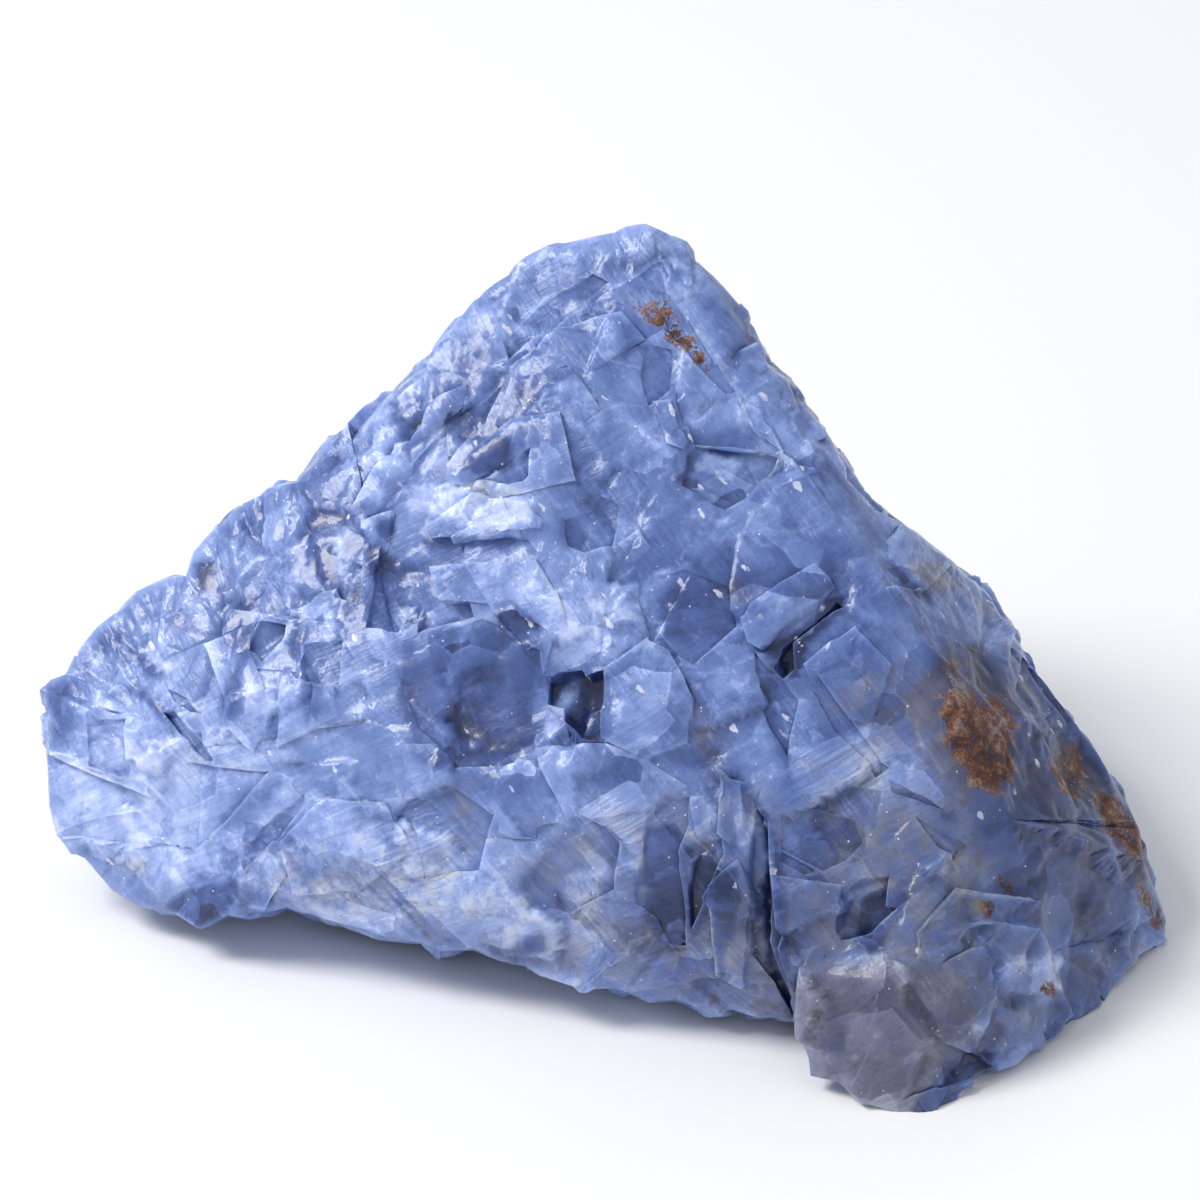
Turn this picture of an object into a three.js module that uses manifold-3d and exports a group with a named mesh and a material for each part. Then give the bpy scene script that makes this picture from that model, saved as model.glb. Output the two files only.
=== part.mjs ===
// Rough blue calcite: one broken, hand-sized lump of massive cleavable calcite, a single solid.
// Its big showing side leans back to a blunt summit, a narrower worn side falls away to the right,
// a thick foot juts out at the lower right, and the underside has a flat spot to rest on.
// Calcite splits along three directions that meet at 75 and 105 degrees, so the broken skin is made
// of flat-floored terraces: thin plates that stand proud and shallow windows where a plate came off.
//
// Millimetres, +Z up, +X to the right and +Y to the back as the showing side is faced. The origin is
// on the resting plane, under the middle of the stone.

import * as THREE from "three";
import { ConvexGeometry } from "three/addons/geometries/ConvexGeometry.js";
import { mergeVertices } from "three/addons/utils/BufferGeometryUtils.js";
import Module from "manifold-3d";

const wasm = await Module();
wasm.setup();

// The showing side is measured as it is seen, from this far off and this far above the horizontal.
// A place on it is [across, up] or [across, up, near]: right of, above and nearer than its middle.
const LOOK_DISTANCE = 500;
const LOOK_DOWN = THREE.MathUtils.degToRad(30);
const ACROSS = new THREE.Vector3(1, 0, 0);
const UP = new THREE.Vector3(0, Math.sin(LOOK_DOWN), Math.cos(LOOK_DOWN));
const NEAR = new THREE.Vector3(0, -Math.cos(LOOK_DOWN), Math.sin(LOOK_DOWN));

// The resting plane lies this far below the middle of the showing side.
const RESTING_DEPTH = 33;

// How far a column of the showing side drifts [across, up] for each millimetre nearer, so that the
// lower right walls of the plates and the upper left walls of the windows show.
const CLEAVAGE_DRIFT = [-0.3, 0.26];
const CLEAVAGE_ANGLE = THREE.MathUtils.degToRad(75);

// Columns over a patch of the showing side run from behind the deepest pit to clear of the stone, and
// the drift and the lean are measured from about the depth of its skin.
const COLUMN_START = -24;
const COLUMN_END = 60;
const SKIN_DEPTH = 10;
const TRIM_START = -90;

// A box larger than the stone, for cutting the underside level.
const CUTTING_WIDTH = 300;
const CUTTING_DEPTH = 100;

// Corners closer than the first are one corner, and edges shorter than the second are drawn together.
const SAME_CORNER = 1e-4;
const SHORTEST_EDGE = 0.03;

const CALCITE_COLOUR = 0x8296cf;
const CALCITE_ROUGHNESS = 0.35;

// The outline of the stone as its showing side is faced, clockwise from the summit.
const OUTLINE = [
  [4.2, 37.4], [6.2, 37], [8.4, 35.4], [9.8, 33.8], [12.7, 31.2], [14.8, 28.6], [16.3, 25.2],
  [16.9, 23.4], [18.8, 22], [20.3, 19.2], [22.4, 17], [24.4, 13.4], [27.1, 9.8], [30.6, 6.9],
  [34.5, 4.1], [38.4, 1], [40.3, -1.6], [42.4, -5], [44, -7.6], [46.6, -11], [48.9, -14],
  [51, -17], [52.6, -20], [54, -22.8], [54.4, -26], [56.1, -29.2], [57.1, -32], [56.8, -34.2],
  [54.1, -35.6], [53.4, -37.2], [51.2, -38.6], [49.9, -41], [48, -42.6], [46.7, -44.1], [43, -45],
  [41.6, -46.4], [38, -47.6], [35.9, -49.9], [33.2, -51.4], [29.2, -50.9], [26.4, -50],
  [23.9, -48], [21.1, -47.6], [20.8, -45], [20, -44], [19.8, -41.9], [17.6, -41.8], [13.4, -41.2],
  [11, -41.4], [7.4, -40.4], [4.8, -40.6], [1.6, -39.2], [-0.6, -39.2], [-2.3, -37.8],
  [-5.6, -37], [-7.2, -36], [-10, -35.7], [-12.6, -34.8], [-16, -35.2], [-17.8, -34],
  [-21.6, -33.8], [-26, -32.6], [-31.4, -30.8], [-35, -31.6], [-37.2, -31.2], [-39.9, -32.6],
  [-42, -31.4], [-46, -30.6], [-48.9, -29.2], [-51.7, -26], [-54, -23.4], [-54.8, -20.6],
  [-55.4, -14.6], [-55.8, -12], [-55.5, -11.2], [-56, -9], [-55, -7.8], [-53.4, -7.4],
  [-52.4, -5.6], [-50.2, -3], [-48, -1.4], [-46.2, 0.8], [-43.4, 2], [-41.3, 2.3],
  [-40.4, 4.6], [-38.2, 6.8], [-35.8, 9.8], [-33, 10.9], [-30.2, 11.6], [-28, 14.8],
  [-24.4, 18.8], [-20.2, 22.6], [-18.6, 23.5], [-16.8, 24.4], [-13.4, 28.4], [-11.6, 30.8],
  [-8, 33.4], [-5, 35.2], [-1.6, 36], [1.6, 36.4], [2.8, 37.1],
];

// Corners of the lump on its showing side, as [across, up, near].
const SHOWING_CORNERS = [
  [4.5, 37.4, 0], [9, 35.2, -1], [-4, 35.8, -1], [9, 30, 2.5],
  [17.5, 25.5, -3], [25, 15, -5], [34, 6.6, -6], [41, -1, -7], [51, -14.5, -8], [55.5, -22, -8],
  [58.4, -32.6, -7], [55, -38, -5], [48.5, -46, 5],
  [20, 13, 8], [28, 2, 11.5], [36, -9, 14.5], [41, -22, 15.5],
  [-14, 30.5, -3], [-22, 24, -4], [-33, 14, -6], [-43, 4.5, -8], [-49.5, 0, -9],
  [-57.6, -8, -10], [-57.6, -14, -9], [-56, -23, -8], [-49.4, -30.6, -7], [-40, -34.4, -3],
  [-46, -12, -1], [-41, -25, 1], [-29, -8, 6.5], [-30, -29, 5.5],
  [-6, 10, 8.5], [0, -6, 13.5], [-4, -22, 16], [6, -33, 15.5], [-4, -40.5, 8.5], [22, -36, 17.5],
  [19, -43, 10], [30, -33, 19.5],
];

// Corners of the thick foot at the lower right, as [across, up, near].
const FOOT_CORNERS = [
  [20, -37, 18.5], [19.6, -45, 17], [20.8, -49, 17], [26.4, -52, 19.5], [33.4, -53, 19],
  [21.5, -41, 19.5], [28, -38, 20.8], [34, -37.5, 20.5], [33.6, -47, 21],
  [42, -49, 12], [48, -43, 9], [44, -33, 14], [38, -31.5, 17],
  [20, -30, 4], [44, -30, 0],
];

// Corners of the lump on its hidden sides, as [x, y, height above the resting plane]. Those below that
// plane bound the flat spot, once the underside is cut off level.
const HIDDEN_CORNERS = [
  [-17, 2, -1], [-12, 24, -1], [22, 24, -1], [38, 8, -1], [36, -12, -1], [4, -14, -1],
  [-38, 10, 2.5], [-22, 29, 2.5], [30, 28, 2.5], [48, 6, 2],
  [-41, 22, 9], [-20, 39, 10], [12, 44, 9], [41, 31, 8], [54, 9, 6],
  [-46, 20, 19], [-31, 31, 21], [2, 45, 22], [30, 36, 20], [47, 18, 14],
  [-24, 30, 33], [-9, 36, 42], [15, 37, 41], [29, 27, 31], [2, 29, 58], [11, 25, 57],
];

// The terraces that can be told apart on the showing side: a plate stands this many millimetres proud
// of the lump's skin, or inside a window below it, and a window is this far below the skin. Each has
// its outline of [across, up] points, and its floor leans [across, up] degrees from the skin.
const TERRACES = [
  // the long slab along the left-hand ridge, and the thinner one behind it
  { plate: 0.9, lean: [0, 3], outline: [
    [-28.4, 11.4], [-25.8, 16.2], [-19.4, 23], [-16.6, 24.2], [-17.4, 21.6], [-22, 16], [-25.6, 11.4],
  ] },
  { window: 0.4, lean: [3, 0], outline: [
    [-25.4, 11], [-21.6, 16], [-17.2, 21.4], [-13, 24.2], [-14.6, 20.4], [-19.8, 13.8], [-24, 10.2],
  ] },
  { window: 1.1, lean: [0, -4], outline: [
    [-13.4, 28.8], [-10.8, 31.6], [-4.4, 35.8], [-2.6, 34.8], [-8.6, 30.4], [-12.4, 26.8],
  ] },
  // the summit's own shallow steps
  { window: 0.7, lean: [0, 4], outline: [
    [-1.8, 35], [3.4, 33.6], [5.8, 30.6], [1.2, 28.2], [-4.8, 31.6],
  ] },
  { plate: 0.7, lean: [2, 2], outline: [
    [-7.8, 30.4], [-0.8, 31.4], [1.7, 28.4], [-3.6, 25], [-9.4, 27.6],
  ] },
  { window: 0.8, lean: [3, 0], outline: [
    [1.7, 28.2], [4.4, 27.4], [4.4, 23.2], [2.6, 21.4], [1.5, 24.6],
  ] },
  { plate: 0.8, lean: [-2, 0], outline: [
    [3, 21.8], [5, 22.2], [7, 17.4], [6.6, 16.6], [5, 17.2],
  ] },
  { window: 0.7, lean: [4, 2], outline: [
    [5.2, 22.8], [11, 23.2], [13.2, 18.6], [16.6, 16.6], [7.6, 17.2],
  ] },
  { plate: 0.9, lean: [0, 2], outline: [
    [11.2, 22.8], [14, 21], [18.4, 15], [16.4, 16.2], [13.2, 18.4],
  ] },
  { window: 1, lean: [0, 0], outline: [
    [3.2, 29.8], [6, 30.6], [7.8, 28], [11, 23], [10, 22.8], [6.6, 26],
  ] },
  { plate: 0.6, lean: [2, -3], outline: [
    [-12, 24.8], [-5.6, 25.6], [-2.2, 21], [-7.4, 17.2], [-13.2, 19.8],
  ] },
  // the small dark window below the ridge
  { window: 0.9, lean: [3, 3], outline: [
    [-14.7, 13.6], [-13.1, 15.3], [-10.6, 16.1], [-8.6, 16.8], [-8.5, 13.6], [-9.1, 13], [-10.7, 12.8],
  ] },
  // the recess with two bright plates in it, right of the middle of the upper half
  { window: 1.7, lean: [4, -4], outline: [
    [6.8, 16.1], [7.6, 17], [11.2, 16.8], [16.4, 15.5], [14.2, 13.8], [13.3, 11.9], [11.2, 10.3],
    [6.6, 12.8],
  ] },
  { plate: -0.5, lean: [-3, 3], outline: [
    [9.6, 14.6], [10.4, 15], [13.9, 13.3], [13.1, 12.1], [9.6, 13.6],
  ] },
  { plate: -0.6, lean: [-3, 3], outline: [
    [7.5, 12.6], [8.3, 12.8], [11.5, 11.2], [11, 10.8],
  ] },
  { plate: 0.9, lean: [3, 3], outline: [
    [16.4, 16.8], [20.4, 14.4], [16, 12.1], [15, 13.4],
  ] },
  // the white step of stacked plates at the left of the upper half
  { plate: 1, lean: [0, -2], outline: [
    [-19.4, 9.2], [-14.5, 12], [-8.8, 10.9], [-6.8, 9.2], [-7, 8], [-19, 7.8],
  ] },
  { window: 0.8, lean: [0, -4], outline: [
    [-18.6, 7], [-8.6, 7.2], [-7.4, 5.6], [-8.6, 4.8], [-17.6, 5],
  ] },
  { plate: 0.9, lean: [2, 0], outline: [
    [-18.8, 4.8], [-10.4, 4.6], [-8.6, 2.6], [-12.4, 0.4], [-17.4, 1.4],
  ] },
  // the upright blades left of it, with the dark gaps beside them
  { plate: 1.1, lean: [-4, 0], outline: [
    [-26.7, 10.4], [-23.7, 11.2], [-24.5, 5.6], [-25.8, 1.4], [-26.6, 6.4],
  ] },
  { window: 1, lean: [4, 0], outline: [
    [-23.7, 11], [-22.9, 9.5], [-23.4, 6], [-24.5, 7],
  ] },
  { window: 1.3, lean: [2, 2], outline: [
    [-22.5, 8], [-20.6, 7.3], [-20.8, 5.8], [-22.7, 5.6],
  ] },
  { window: 1.5, lean: [3, 3], outline: [
    [-24.8, 5.6], [-20.8, 5.8], [-19.1, 3.5], [-21.8, -1.9], [-25.4, -1.1],
  ] },
  { window: 1.2, lean: [-3, 2], outline: [
    [-27.7, 6.5], [-26.3, 5.6], [-26.5, 1.7], [-28.4, 2.4], [-29.2, 3.6],
  ] },
  // the big smooth blue window left of the middle, and the small one above it
  { window: 1.1, lean: [2, 3], outline: [
    [-22.4, -5], [-17, -2], [-13, -1], [-6, -5], [-5.3, -9], [-5.9, -13.8], [-8.5, -16.5], [-15, -16.5],
    [-19.4, -12],
  ] },
  { window: 1.3, lean: [-3, -3], outline: [
    [-11.1, -0.8], [-9.6, -0.5], [-6.4, -1.9], [-5.2, -3.1], [-6.3, -4.4], [-8.8, -3.5],
  ] },
  // the deep pit at the middle, the striped block right of it and the smooth block below
  { window: 3.2, lean: [3, 3], outline: [
    [-5.6, -7.7], [-2, -7], [-1.6, -7.8], [0.5, -7], [1.1, -11.3], [0.9, -14.4], [-1.4, -13.9],
    [-3.4, -12.3], [-3.6, -10.9], [-5.8, -10.2],
  ] },
  { plate: 1.2, lean: [3, -2], outline: [
    [0.6, -7.1], [5.7, -2.9], [7, -5.2], [9.9, -10.2], [9.7, -15.1], [5.7, -16.8], [2.5, -15.3],
    [1.1, -14.4],
  ] },
  { plate: 0.8, lean: [-2, 3], outline: [
    [-6, -15.3], [1.3, -15.1], [5.1, -16.3], [9.7, -19.5], [5.1, -21.8], [-2.1, -22.8], [-5.4, -17],
  ] },
  { window: 0.9, lean: [0, 3], outline: [
    [-2.2, 10.2], [-1.5, 11.7], [0.3, 10.8], [0, 6.5], [-2.5, 5.5], [-4.4, 6.4], [-4.9, 9.2],
  ] },
  { plate: 0.8, lean: [2, 2], outline: [
    [0.7, 6.5], [2.9, 8.1], [4.3, 6.1], [2.7, 4.3],
  ] },
  { window: 0.7, lean: [2, -3], outline: [
    [3, 2.6], [7.4, 4], [12.4, 2], [13.4, -2.4], [9.4, -6.6], [5, -4], [3, 0.4],
  ] },
  // the bent ledge right of the middle, with the dark hollow that follows it
  { plate: 1.5, lean: [2, -2], outline: [
    [14.2, -1.9], [18, 1.6], [21.1, 3.8], [23.2, 1.4], [20.9, -0.4], [16.2, -5], [15.2, -4.4],
  ] },
  { window: 1.5, lean: [-3, 0], outline: [
    [23.2, 0.2], [24, -0.4], [19.2, -4.2], [19.6, -7], [18.4, -8], [17.4, -6.8], [18.2, -4.8],
  ] },
  { window: 1.1, lean: [3, 0], outline: [
    [15.2, -4.8], [20.2, -10.4], [19.4, -16.4], [17.2, -13], [15.4, -7.4],
  ] },
  { plate: 0.8, lean: [-3, -2], outline: [
    [20.6, -6.6], [25.4, -2.4], [29.4, -6.6], [27.6, -13], [23, -11.4],
  ] },
  { window: 0.9, lean: [-3, 3], outline: [
    [22, -7.6], [29.6, -17.4], [28.4, -18.4], [23.8, -13.6], [21, -8.6],
  ] },
  // the upright columns and hollows of the lower middle
  { window: 1.6, lean: [4, 0], outline: [
    [5.4, -21.7], [7.5, -20.1], [9.8, -20.3], [10.2, -23.2], [9.2, -26.2], [9.4, -32.4], [9, -35],
    [7.3, -34.7], [6.3, -32.4], [4, -30.8], [3.8, -29.7], [4.6, -25.5],
  ] },
  { window: 1.6, lean: [-4, 0], outline: [
    [10.9, -24.7], [13.2, -24.7], [13.6, -26.4], [12.6, -29.3], [9.8, -33.6], [9.6, -29],
  ] },
  { window: 2, lean: [3, 0], outline: [
    [15.9, -20.5], [17.8, -23], [18.2, -27.4], [18.6, -31.2], [18, -35], [19.7, -40.2], [18.6, -41.2],
    [17.6, -38.5], [15.9, -36], [16.5, -31.2], [15.9, -28.5],
  ] },
  { plate: 1.1, lean: [2, 2], outline: [
    [12.6, -29.9], [15.3, -27.4], [16.4, -30.4], [15.8, -35.6], [14.4, -39.2], [12, -38],
  ] },
  { plate: 1, lean: [2, 0], outline: [
    [10.2, -20.9], [12.1, -20.3], [11.9, -23.6], [11.1, -24.5],
  ] },
  { plate: 1.6, lean: [0, -3], outline: [
    [12.8, -17.8], [15.5, -18.8], [15.9, -23.6], [14.4, -25.7], [13.2, -24.7],
  ] },
  { window: 0.9, lean: [0, 3], outline: [
    [-6, -23], [-1, -22], [3, -24.4], [2, -29.4], [-3, -31], [-7, -28],
  ] },
  // the scalloped ledges of the lower right
  { window: 1.1, lean: [2, 3], outline: [
    [19, -22.2], [20.3, -21.7], [26.2, -23], [27.4, -25.3], [25.7, -27], [23.7, -28.2], [19.2, -25.9],
  ] },
  { window: 1.8, lean: [0, 0], outline: [
    [19.2, -26.1], [22.8, -28.2], [21.8, -28.6], [19.2, -27.2],
  ] },
  { window: 2, lean: [-4, 0], outline: [
    [27.6, -29.1], [30.4, -28.7], [30.2, -32], [31.4, -32.2], [28.7, -34.7], [25.7, -35.2],
    [25.4, -34.1], [26, -30.8],
  ] },
  { plate: 1.2, lean: [2, -2], outline: [
    [18.8, -28.9], [26, -29.9], [25.4, -35], [22.8, -36.6], [19.9, -39.4], [19.2, -36],
  ] },
  { window: 1.2, lean: [0, 3], outline: [
    [29.5, -18.5], [33, -20], [36, -22.2], [33.5, -21.5], [30, -20],
  ] },
  { window: 1.1, lean: [3, 3], outline: [
    [32.5, -22.6], [37.3, -25.1], [36.4, -27], [34.5, -25.9],
  ] },
  { plate: 1.1, lean: [-2, 3], outline: [
    [33.3, -34.7], [37.1, -29.9], [43.4, -29.7], [40.6, -33.7], [35.8, -38.1], [33.3, -37.3],
  ] },
  { window: 1.4, lean: [0, -3], outline: [
    [36, -38.1], [38.7, -34.5], [40.8, -33.1], [40, -34.8],
  ] },
  { window: 1.5, lean: [-4, 2], outline: [
    [45, -40], [48.5, -36.5], [52, -36.4], [50, -42], [47, -44.8], [43.2, -44.4],
  ] },
  { window: 1.6, lean: [0, -4], outline: [
    [34, -46.9], [35.5, -45.5], [40, -47.2], [36, -50.6], [32, -51.8],
  ] },
  // the plates, slots and window of the left-hand lobe
  { plate: 1.3, lean: [-3, 2], outline: [
    [-43.6, -1], [-37.6, 0.8], [-38.2, -2.3], [-36.1, -6.7], [-35.9, -10.4], [-37.3, -12.9],
    [-38.8, -11.3], [-40.1, -8.2],
  ] },
  { window: 1.3, lean: [3, 0], outline: [
    [-37.4, 0.8], [-34.4, 0], [-34.6, -1.7], [-36.5, -4], [-38, -2.3],
  ] },
  { window: 1.7, lean: [0, 3], outline: [
    [-47.4, -5.2], [-45, -6.5], [-43.4, -8.4], [-44.5, -8.3], [-46.5, -6.8],
  ] },
  { window: 1.9, lean: [0, 3], outline: [
    [-47.6, -7.9], [-46.4, -7.7], [-43, -11.3], [-41.8, -13.2], [-42.8, -13.2], [-45.3, -10.7],
  ] },
  { window: 1, lean: [3, 3], outline: [
    [-32.1, -2.3], [-27.9, -2.3], [-28.1, -6.7], [-31.1, -6.3],
  ] },
  { plate: 1, lean: [-3, 0], outline: [
    [-34, -4.4], [-32.4, -6.2], [-28.2, -7], [-27.8, -10.4], [-34.4, -12.6],
  ] },
  { window: 0.8, lean: [-4, 0], outline: [
    [-56.4, -8], [-52.2, -8], [-51.8, -14], [-56, -12.3],
  ] },
  { window: 1.4, lean: [3, -3], outline: [
    [-39, -23.2], [-36, -20], [-31.8, -17.4], [-31.7, -18.4], [-35, -21.2], [-38.5, -24.5],
  ] },
  { plate: 0.9, lean: [2, 3], outline: [
    [-34.6, -22], [-29.4, -18.6], [-22.6, -19.6], [-20, -24.4], [-26, -28], [-33, -27.4],
  ] },
  { window: 1, lean: [0, 3], outline: [
    [-20.6, -20], [-15, -18.4], [-10.4, -21.4], [-12.6, -26.6], [-18.8, -27],
  ] },
  { window: 2, lean: [0, -4], outline: [
    [-43, -30.5], [-38.5, -28], [-35, -29], [-31.5, -30.5], [-35, -32.6], [-42, -33.6],
  ] },
];

// A placed side: a frame with its middle, its right and up directions, and the one that points out.
const SHOWING_SIDE = { middle: new THREE.Vector3(), right: ACROSS, up: UP, out: NEAR };

// The hidden and worn skin is broken by terraces too, like those that show. Each lies over a direction
// from the stone's heart, up to `offset` off it; `windows` is the share of them that are windows, and
// `broken` is where along its sides a patch's fourth corner is broken off. The one that would break
// right through the summit, the seventh, is left out.
const SCATTER = {
  seed: 37,
  count: 72,
  heart: new THREE.Vector3(0, 4, -8),
  sides: [5, 17],
  rises: [0.5, 1.7],
  leanDegrees: 4,
  offset: 26,
  skin: 30,
  windows: 0.55,
  broken: [0.7, 0.6],
  mostTowardsShowingSide: 0.3,
  mostTowardsRestingSide: 0.6,
  throughSummit: 7,
};

function seen(across, up, near) {
  const shrink = 1 - near / LOOK_DISTANCE;
  return new THREE.Vector3()
    .addScaledVector(ACROSS, across * shrink)
    .addScaledVector(UP, up * shrink)
    .addScaledVector(NEAR, near);
}

function solidFrom(geometry) {
  const bare = geometry.clone();
  bare.deleteAttribute("normal");
  bare.deleteAttribute("uv");
  const merged = mergeVertices(bare, SAME_CORNER);
  return new wasm.Manifold(new wasm.Mesh({
    numProp: 3,
    vertProperties: new Float32Array(merged.attributes.position.array),
    triVerts: new Uint32Array(merged.index.array),
  }));
}

function geometryFrom(solid) {
  const mesh = solid.getMesh();
  const geometry = new THREE.BufferGeometry();
  geometry.setAttribute("position", new THREE.BufferAttribute(mesh.vertProperties, 3));
  geometry.setIndex(new THREE.BufferAttribute(mesh.triVerts, 1));
  return geometry;
}

// A prism over an outline, from `start` to `end` along its third axis, each vertex moved by `place`.
function prism(outline, start, end, place) {
  const shape = new THREE.Shape(outline.map(([x, y]) => new THREE.Vector2(x, y)));
  const geometry = new THREE.ExtrudeGeometry(shape, { depth: end - start, bevelEnabled: false });
  const position = geometry.attributes.position;
  for (let i = 0; i < position.count; i += 1) {
    const moved = place(position.getX(i), position.getY(i), position.getZ(i) + start);
    position.setXYZ(i, moved.x, moved.y, moved.z);
  }
  return solidFrom(geometry);
}

// A column over a patch of the showing side, drifting along the cleavage as it comes nearer.
function showingColumn(outline) {
  return prism(outline, COLUMN_START, COLUMN_END, (x, y, near) => {
    const nearer = near - SKIN_DEPTH;
    return seen(x + CLEAVAGE_DRIFT[0] * nearer, y + CLEAVAGE_DRIFT[1] * nearer, near);
  });
}

function placedOn(side, x, y, out) {
  return side.middle.clone()
    .addScaledVector(side.right, x)
    .addScaledVector(side.up, y)
    .addScaledVector(side.out, out);
}

// A column over a patch of any other side, from the middle of the stone outwards.
function outwardColumn(outline, side) {
  return prism(outline, 0, COLUMN_END, (x, y, out) => placedOn(side, x, y, out));
}

// The lump before it was chipped, shifted out of its skin by `rise` and leaned about the pivot.
function shiftedLump(lump, side, pivot, rise, lean) {
  const tilt = new THREE.Quaternion()
    .setFromAxisAngle(side.up, THREE.MathUtils.degToRad(lean[0]))
    .multiply(new THREE.Quaternion().setFromAxisAngle(side.right, THREE.MathUtils.degToRad(lean[1])));
  const move = new THREE.Matrix4()
    .makeTranslation(pivot.clone().addScaledVector(side.out, rise))
    .multiply(new THREE.Matrix4().makeRotationFromQuaternion(tilt))
    .multiply(new THREE.Matrix4().makeTranslation(pivot.clone().negate()));
  return lump.transform(move.elements);
}

// Builds the stone up to a plate's top, or takes it down to a window's floor, inside a column.
function terrace(stone, lump, column, side, pivot, { plate, window, lean }) {
  const moved = shiftedLump(lump, side, pivot, plate ?? -window, lean);
  const patch = window ? column.subtract(moved) : column.intersect(moved);
  const made = window ? stone.subtract(patch) : stone.add(patch);
  if (made.isEmpty()) throw new Error("a terrace left no stone");
  return made;
}

function middleOf(outline) {
  const sum = outline.reduce(([a, b], [x, y]) => [a + x, b + y], [0, 0]);
  return sum.map((value) => value / outline.length);
}

function hull(points) {
  return solidFrom(new ConvexGeometry(points));
}

// The lump before it was chipped: its hull, with the foot joined on, trimmed to its outline.
function roughLump() {
  const showing = SHOWING_CORNERS.map((corner) => seen(...corner));
  const hidden = HIDDEN_CORNERS.map(([x, y, height]) => new THREE.Vector3(x, y, height - RESTING_DEPTH));
  const foot = hull(FOOT_CORNERS.map((corner) => seen(...corner)));
  return trimmed(hull([...showing, ...hidden]).add(foot));
}

// The stone with nothing beyond its outline, as its showing side is faced.
function trimmed(stone) {
  return stone.intersect(prism(OUTLINE, TRIM_START, COLUMN_END, seen));
}

// Chips the terraces that can be told apart into the showing side.
function chipShowingSide(start, lump) {
  return TERRACES.reduce((stone, step) => {
    const pivot = seen(...middleOf(step.outline), SKIN_DEPTH);
    return terrace(stone, lump, showingColumn(step.outline), SHOWING_SIDE, pivot, step);
  }, start);
}

// A repeatable stream of numbers from 0 to 1.
function numberStream(seed) {
  let state = seed;
  return () => {
    state = (state + 0x6d2b79f5) | 0;
    let mixed = Math.imul(state ^ (state >>> 15), 1 | state);
    mixed = (mixed + Math.imul(mixed ^ (mixed >>> 7), 61 | mixed)) ^ mixed;
    return ((mixed ^ (mixed >>> 14)) >>> 0) / 4294967296;
  };
}

// A patch with the cleavage's own angles: a skewed four-sided outline with one corner broken off.
function cleavedPatch(next, [least, most]) {
  const span = (share) => least + (most - least) * share;
  const [wide, tall] = [span(next()), span(next() * next())];
  const slide = tall / Math.tan(CLEAVAGE_ANGLE);
  const [x, y] = [(next() * 2 - 1) * SCATTER.offset, (next() * 2 - 1) * SCATTER.offset];
  const [acrossShare, upShare] = SCATTER.broken;
  return [
    [x, y], [x + wide, y], [x + wide + slide * upShare, y + tall * upShare],
    [x + wide * acrossShare + slide, y + tall], [x + slide, y + tall],
  ];
}

// Scatters terraces over the sides that don't show.
function chipHiddenSides(lump) {
  const next = numberStream(SCATTER.seed);
  const middle = SCATTER.heart;
  let stone = lump;
  let made = 0;
  while (made < SCATTER.count) {
    const turn = next() * 2 * Math.PI;
    const height = next() * 2 - 1;
    const flat = Math.sqrt(1 - height * height);
    const out = new THREE.Vector3(flat * Math.cos(turn), flat * Math.sin(turn), height);
    if (out.dot(NEAR) > SCATTER.mostTowardsShowingSide) continue;
    if (-out.z > SCATTER.mostTowardsRestingSide) continue;
    made += 1;
    const spin = next() * 2 * Math.PI;
    const right = new THREE.Vector3(-out.y, out.x, 0).normalize().applyAxisAngle(out, spin);
    const side = { middle, right, up: new THREE.Vector3().crossVectors(out, right), out };
    const outline = cleavedPatch(next, SCATTER.sides);
    const [lowest, highest] = SCATTER.rises;
    const rise = lowest + (highest - lowest) * next();
    const lean = [next() * 2 - 1, next() * 2 - 1].map((share) => share * SCATTER.leanDegrees);
    const step = next() < SCATTER.windows ? { window: rise, lean } : { plate: rise, lean };
    if (made === SCATTER.throughSummit) continue;
    const [x, y] = middleOf(outline);
    const pivot = placedOn(side, x, y, SCATTER.skin);
    stone = terrace(stone, lump, outwardColumn(outline, side), side, pivot, step);
  }
  return stone;
}

// Cuts the underside off level, which leaves the flat spot that the stone rests on.
function restFlat(stone) {
  const below = new THREE.BoxGeometry(CUTTING_WIDTH, CUTTING_WIDTH, CUTTING_DEPTH)
    .translate(0, 0, -RESTING_DEPTH - CUTTING_DEPTH / 2);
  return stone.subtract(solidFrom(below));
}

function edgesOf(corners) {
  return [[corners[0], corners[1]], [corners[1], corners[2]], [corners[2], corners[0]]];
}

// The corners that each corner of a list of triangles shares an edge with.
function neighbours(triangles) {
  const near = new Map();
  triangles.flatMap(edgesOf).forEach(([a, b]) => {
    if (!near.has(a)) near.set(a, new Set());
    if (!near.has(b)) near.set(b, new Set());
    near.get(a).add(b);
    near.get(b).add(a);
  });
  return near;
}

// Draws the ends of the shortest edges together, so that no splinter of a triangle is left where
// two terraces nearly meet. An edge goes only where that keeps the skin closed.
function withoutSplinters(geometry) {
  const place = geometry.attributes.position;
  const corner = (index) => new THREE.Vector3().fromBufferAttribute(place, index);
  const index = geometry.index.array;
  let triangles = Array.from({ length: index.length / 3 }, (_, i) => [...index.slice(3 * i, 3 * i + 3)]);
  const short = ([a, b]) => a < b && corner(a).distanceTo(corner(b)) < SHORTEST_EDGE;
  triangles.flatMap(edgesOf).filter(short).forEach(([kept, lost]) => {
    const near = neighbours(triangles);
    if (!near.get(kept)?.has(lost)) return;
    const shared = [...near.get(kept)].filter((other) => near.get(lost).has(other));
    if (shared.length !== 2) return;
    triangles = triangles
      .map((corners) => corners.map((one) => (one === lost ? kept : one)))
      .filter((corners) => new Set(corners).size === 3);
  });
  return geometry.clone().setIndex(triangles.flat());
}

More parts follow.
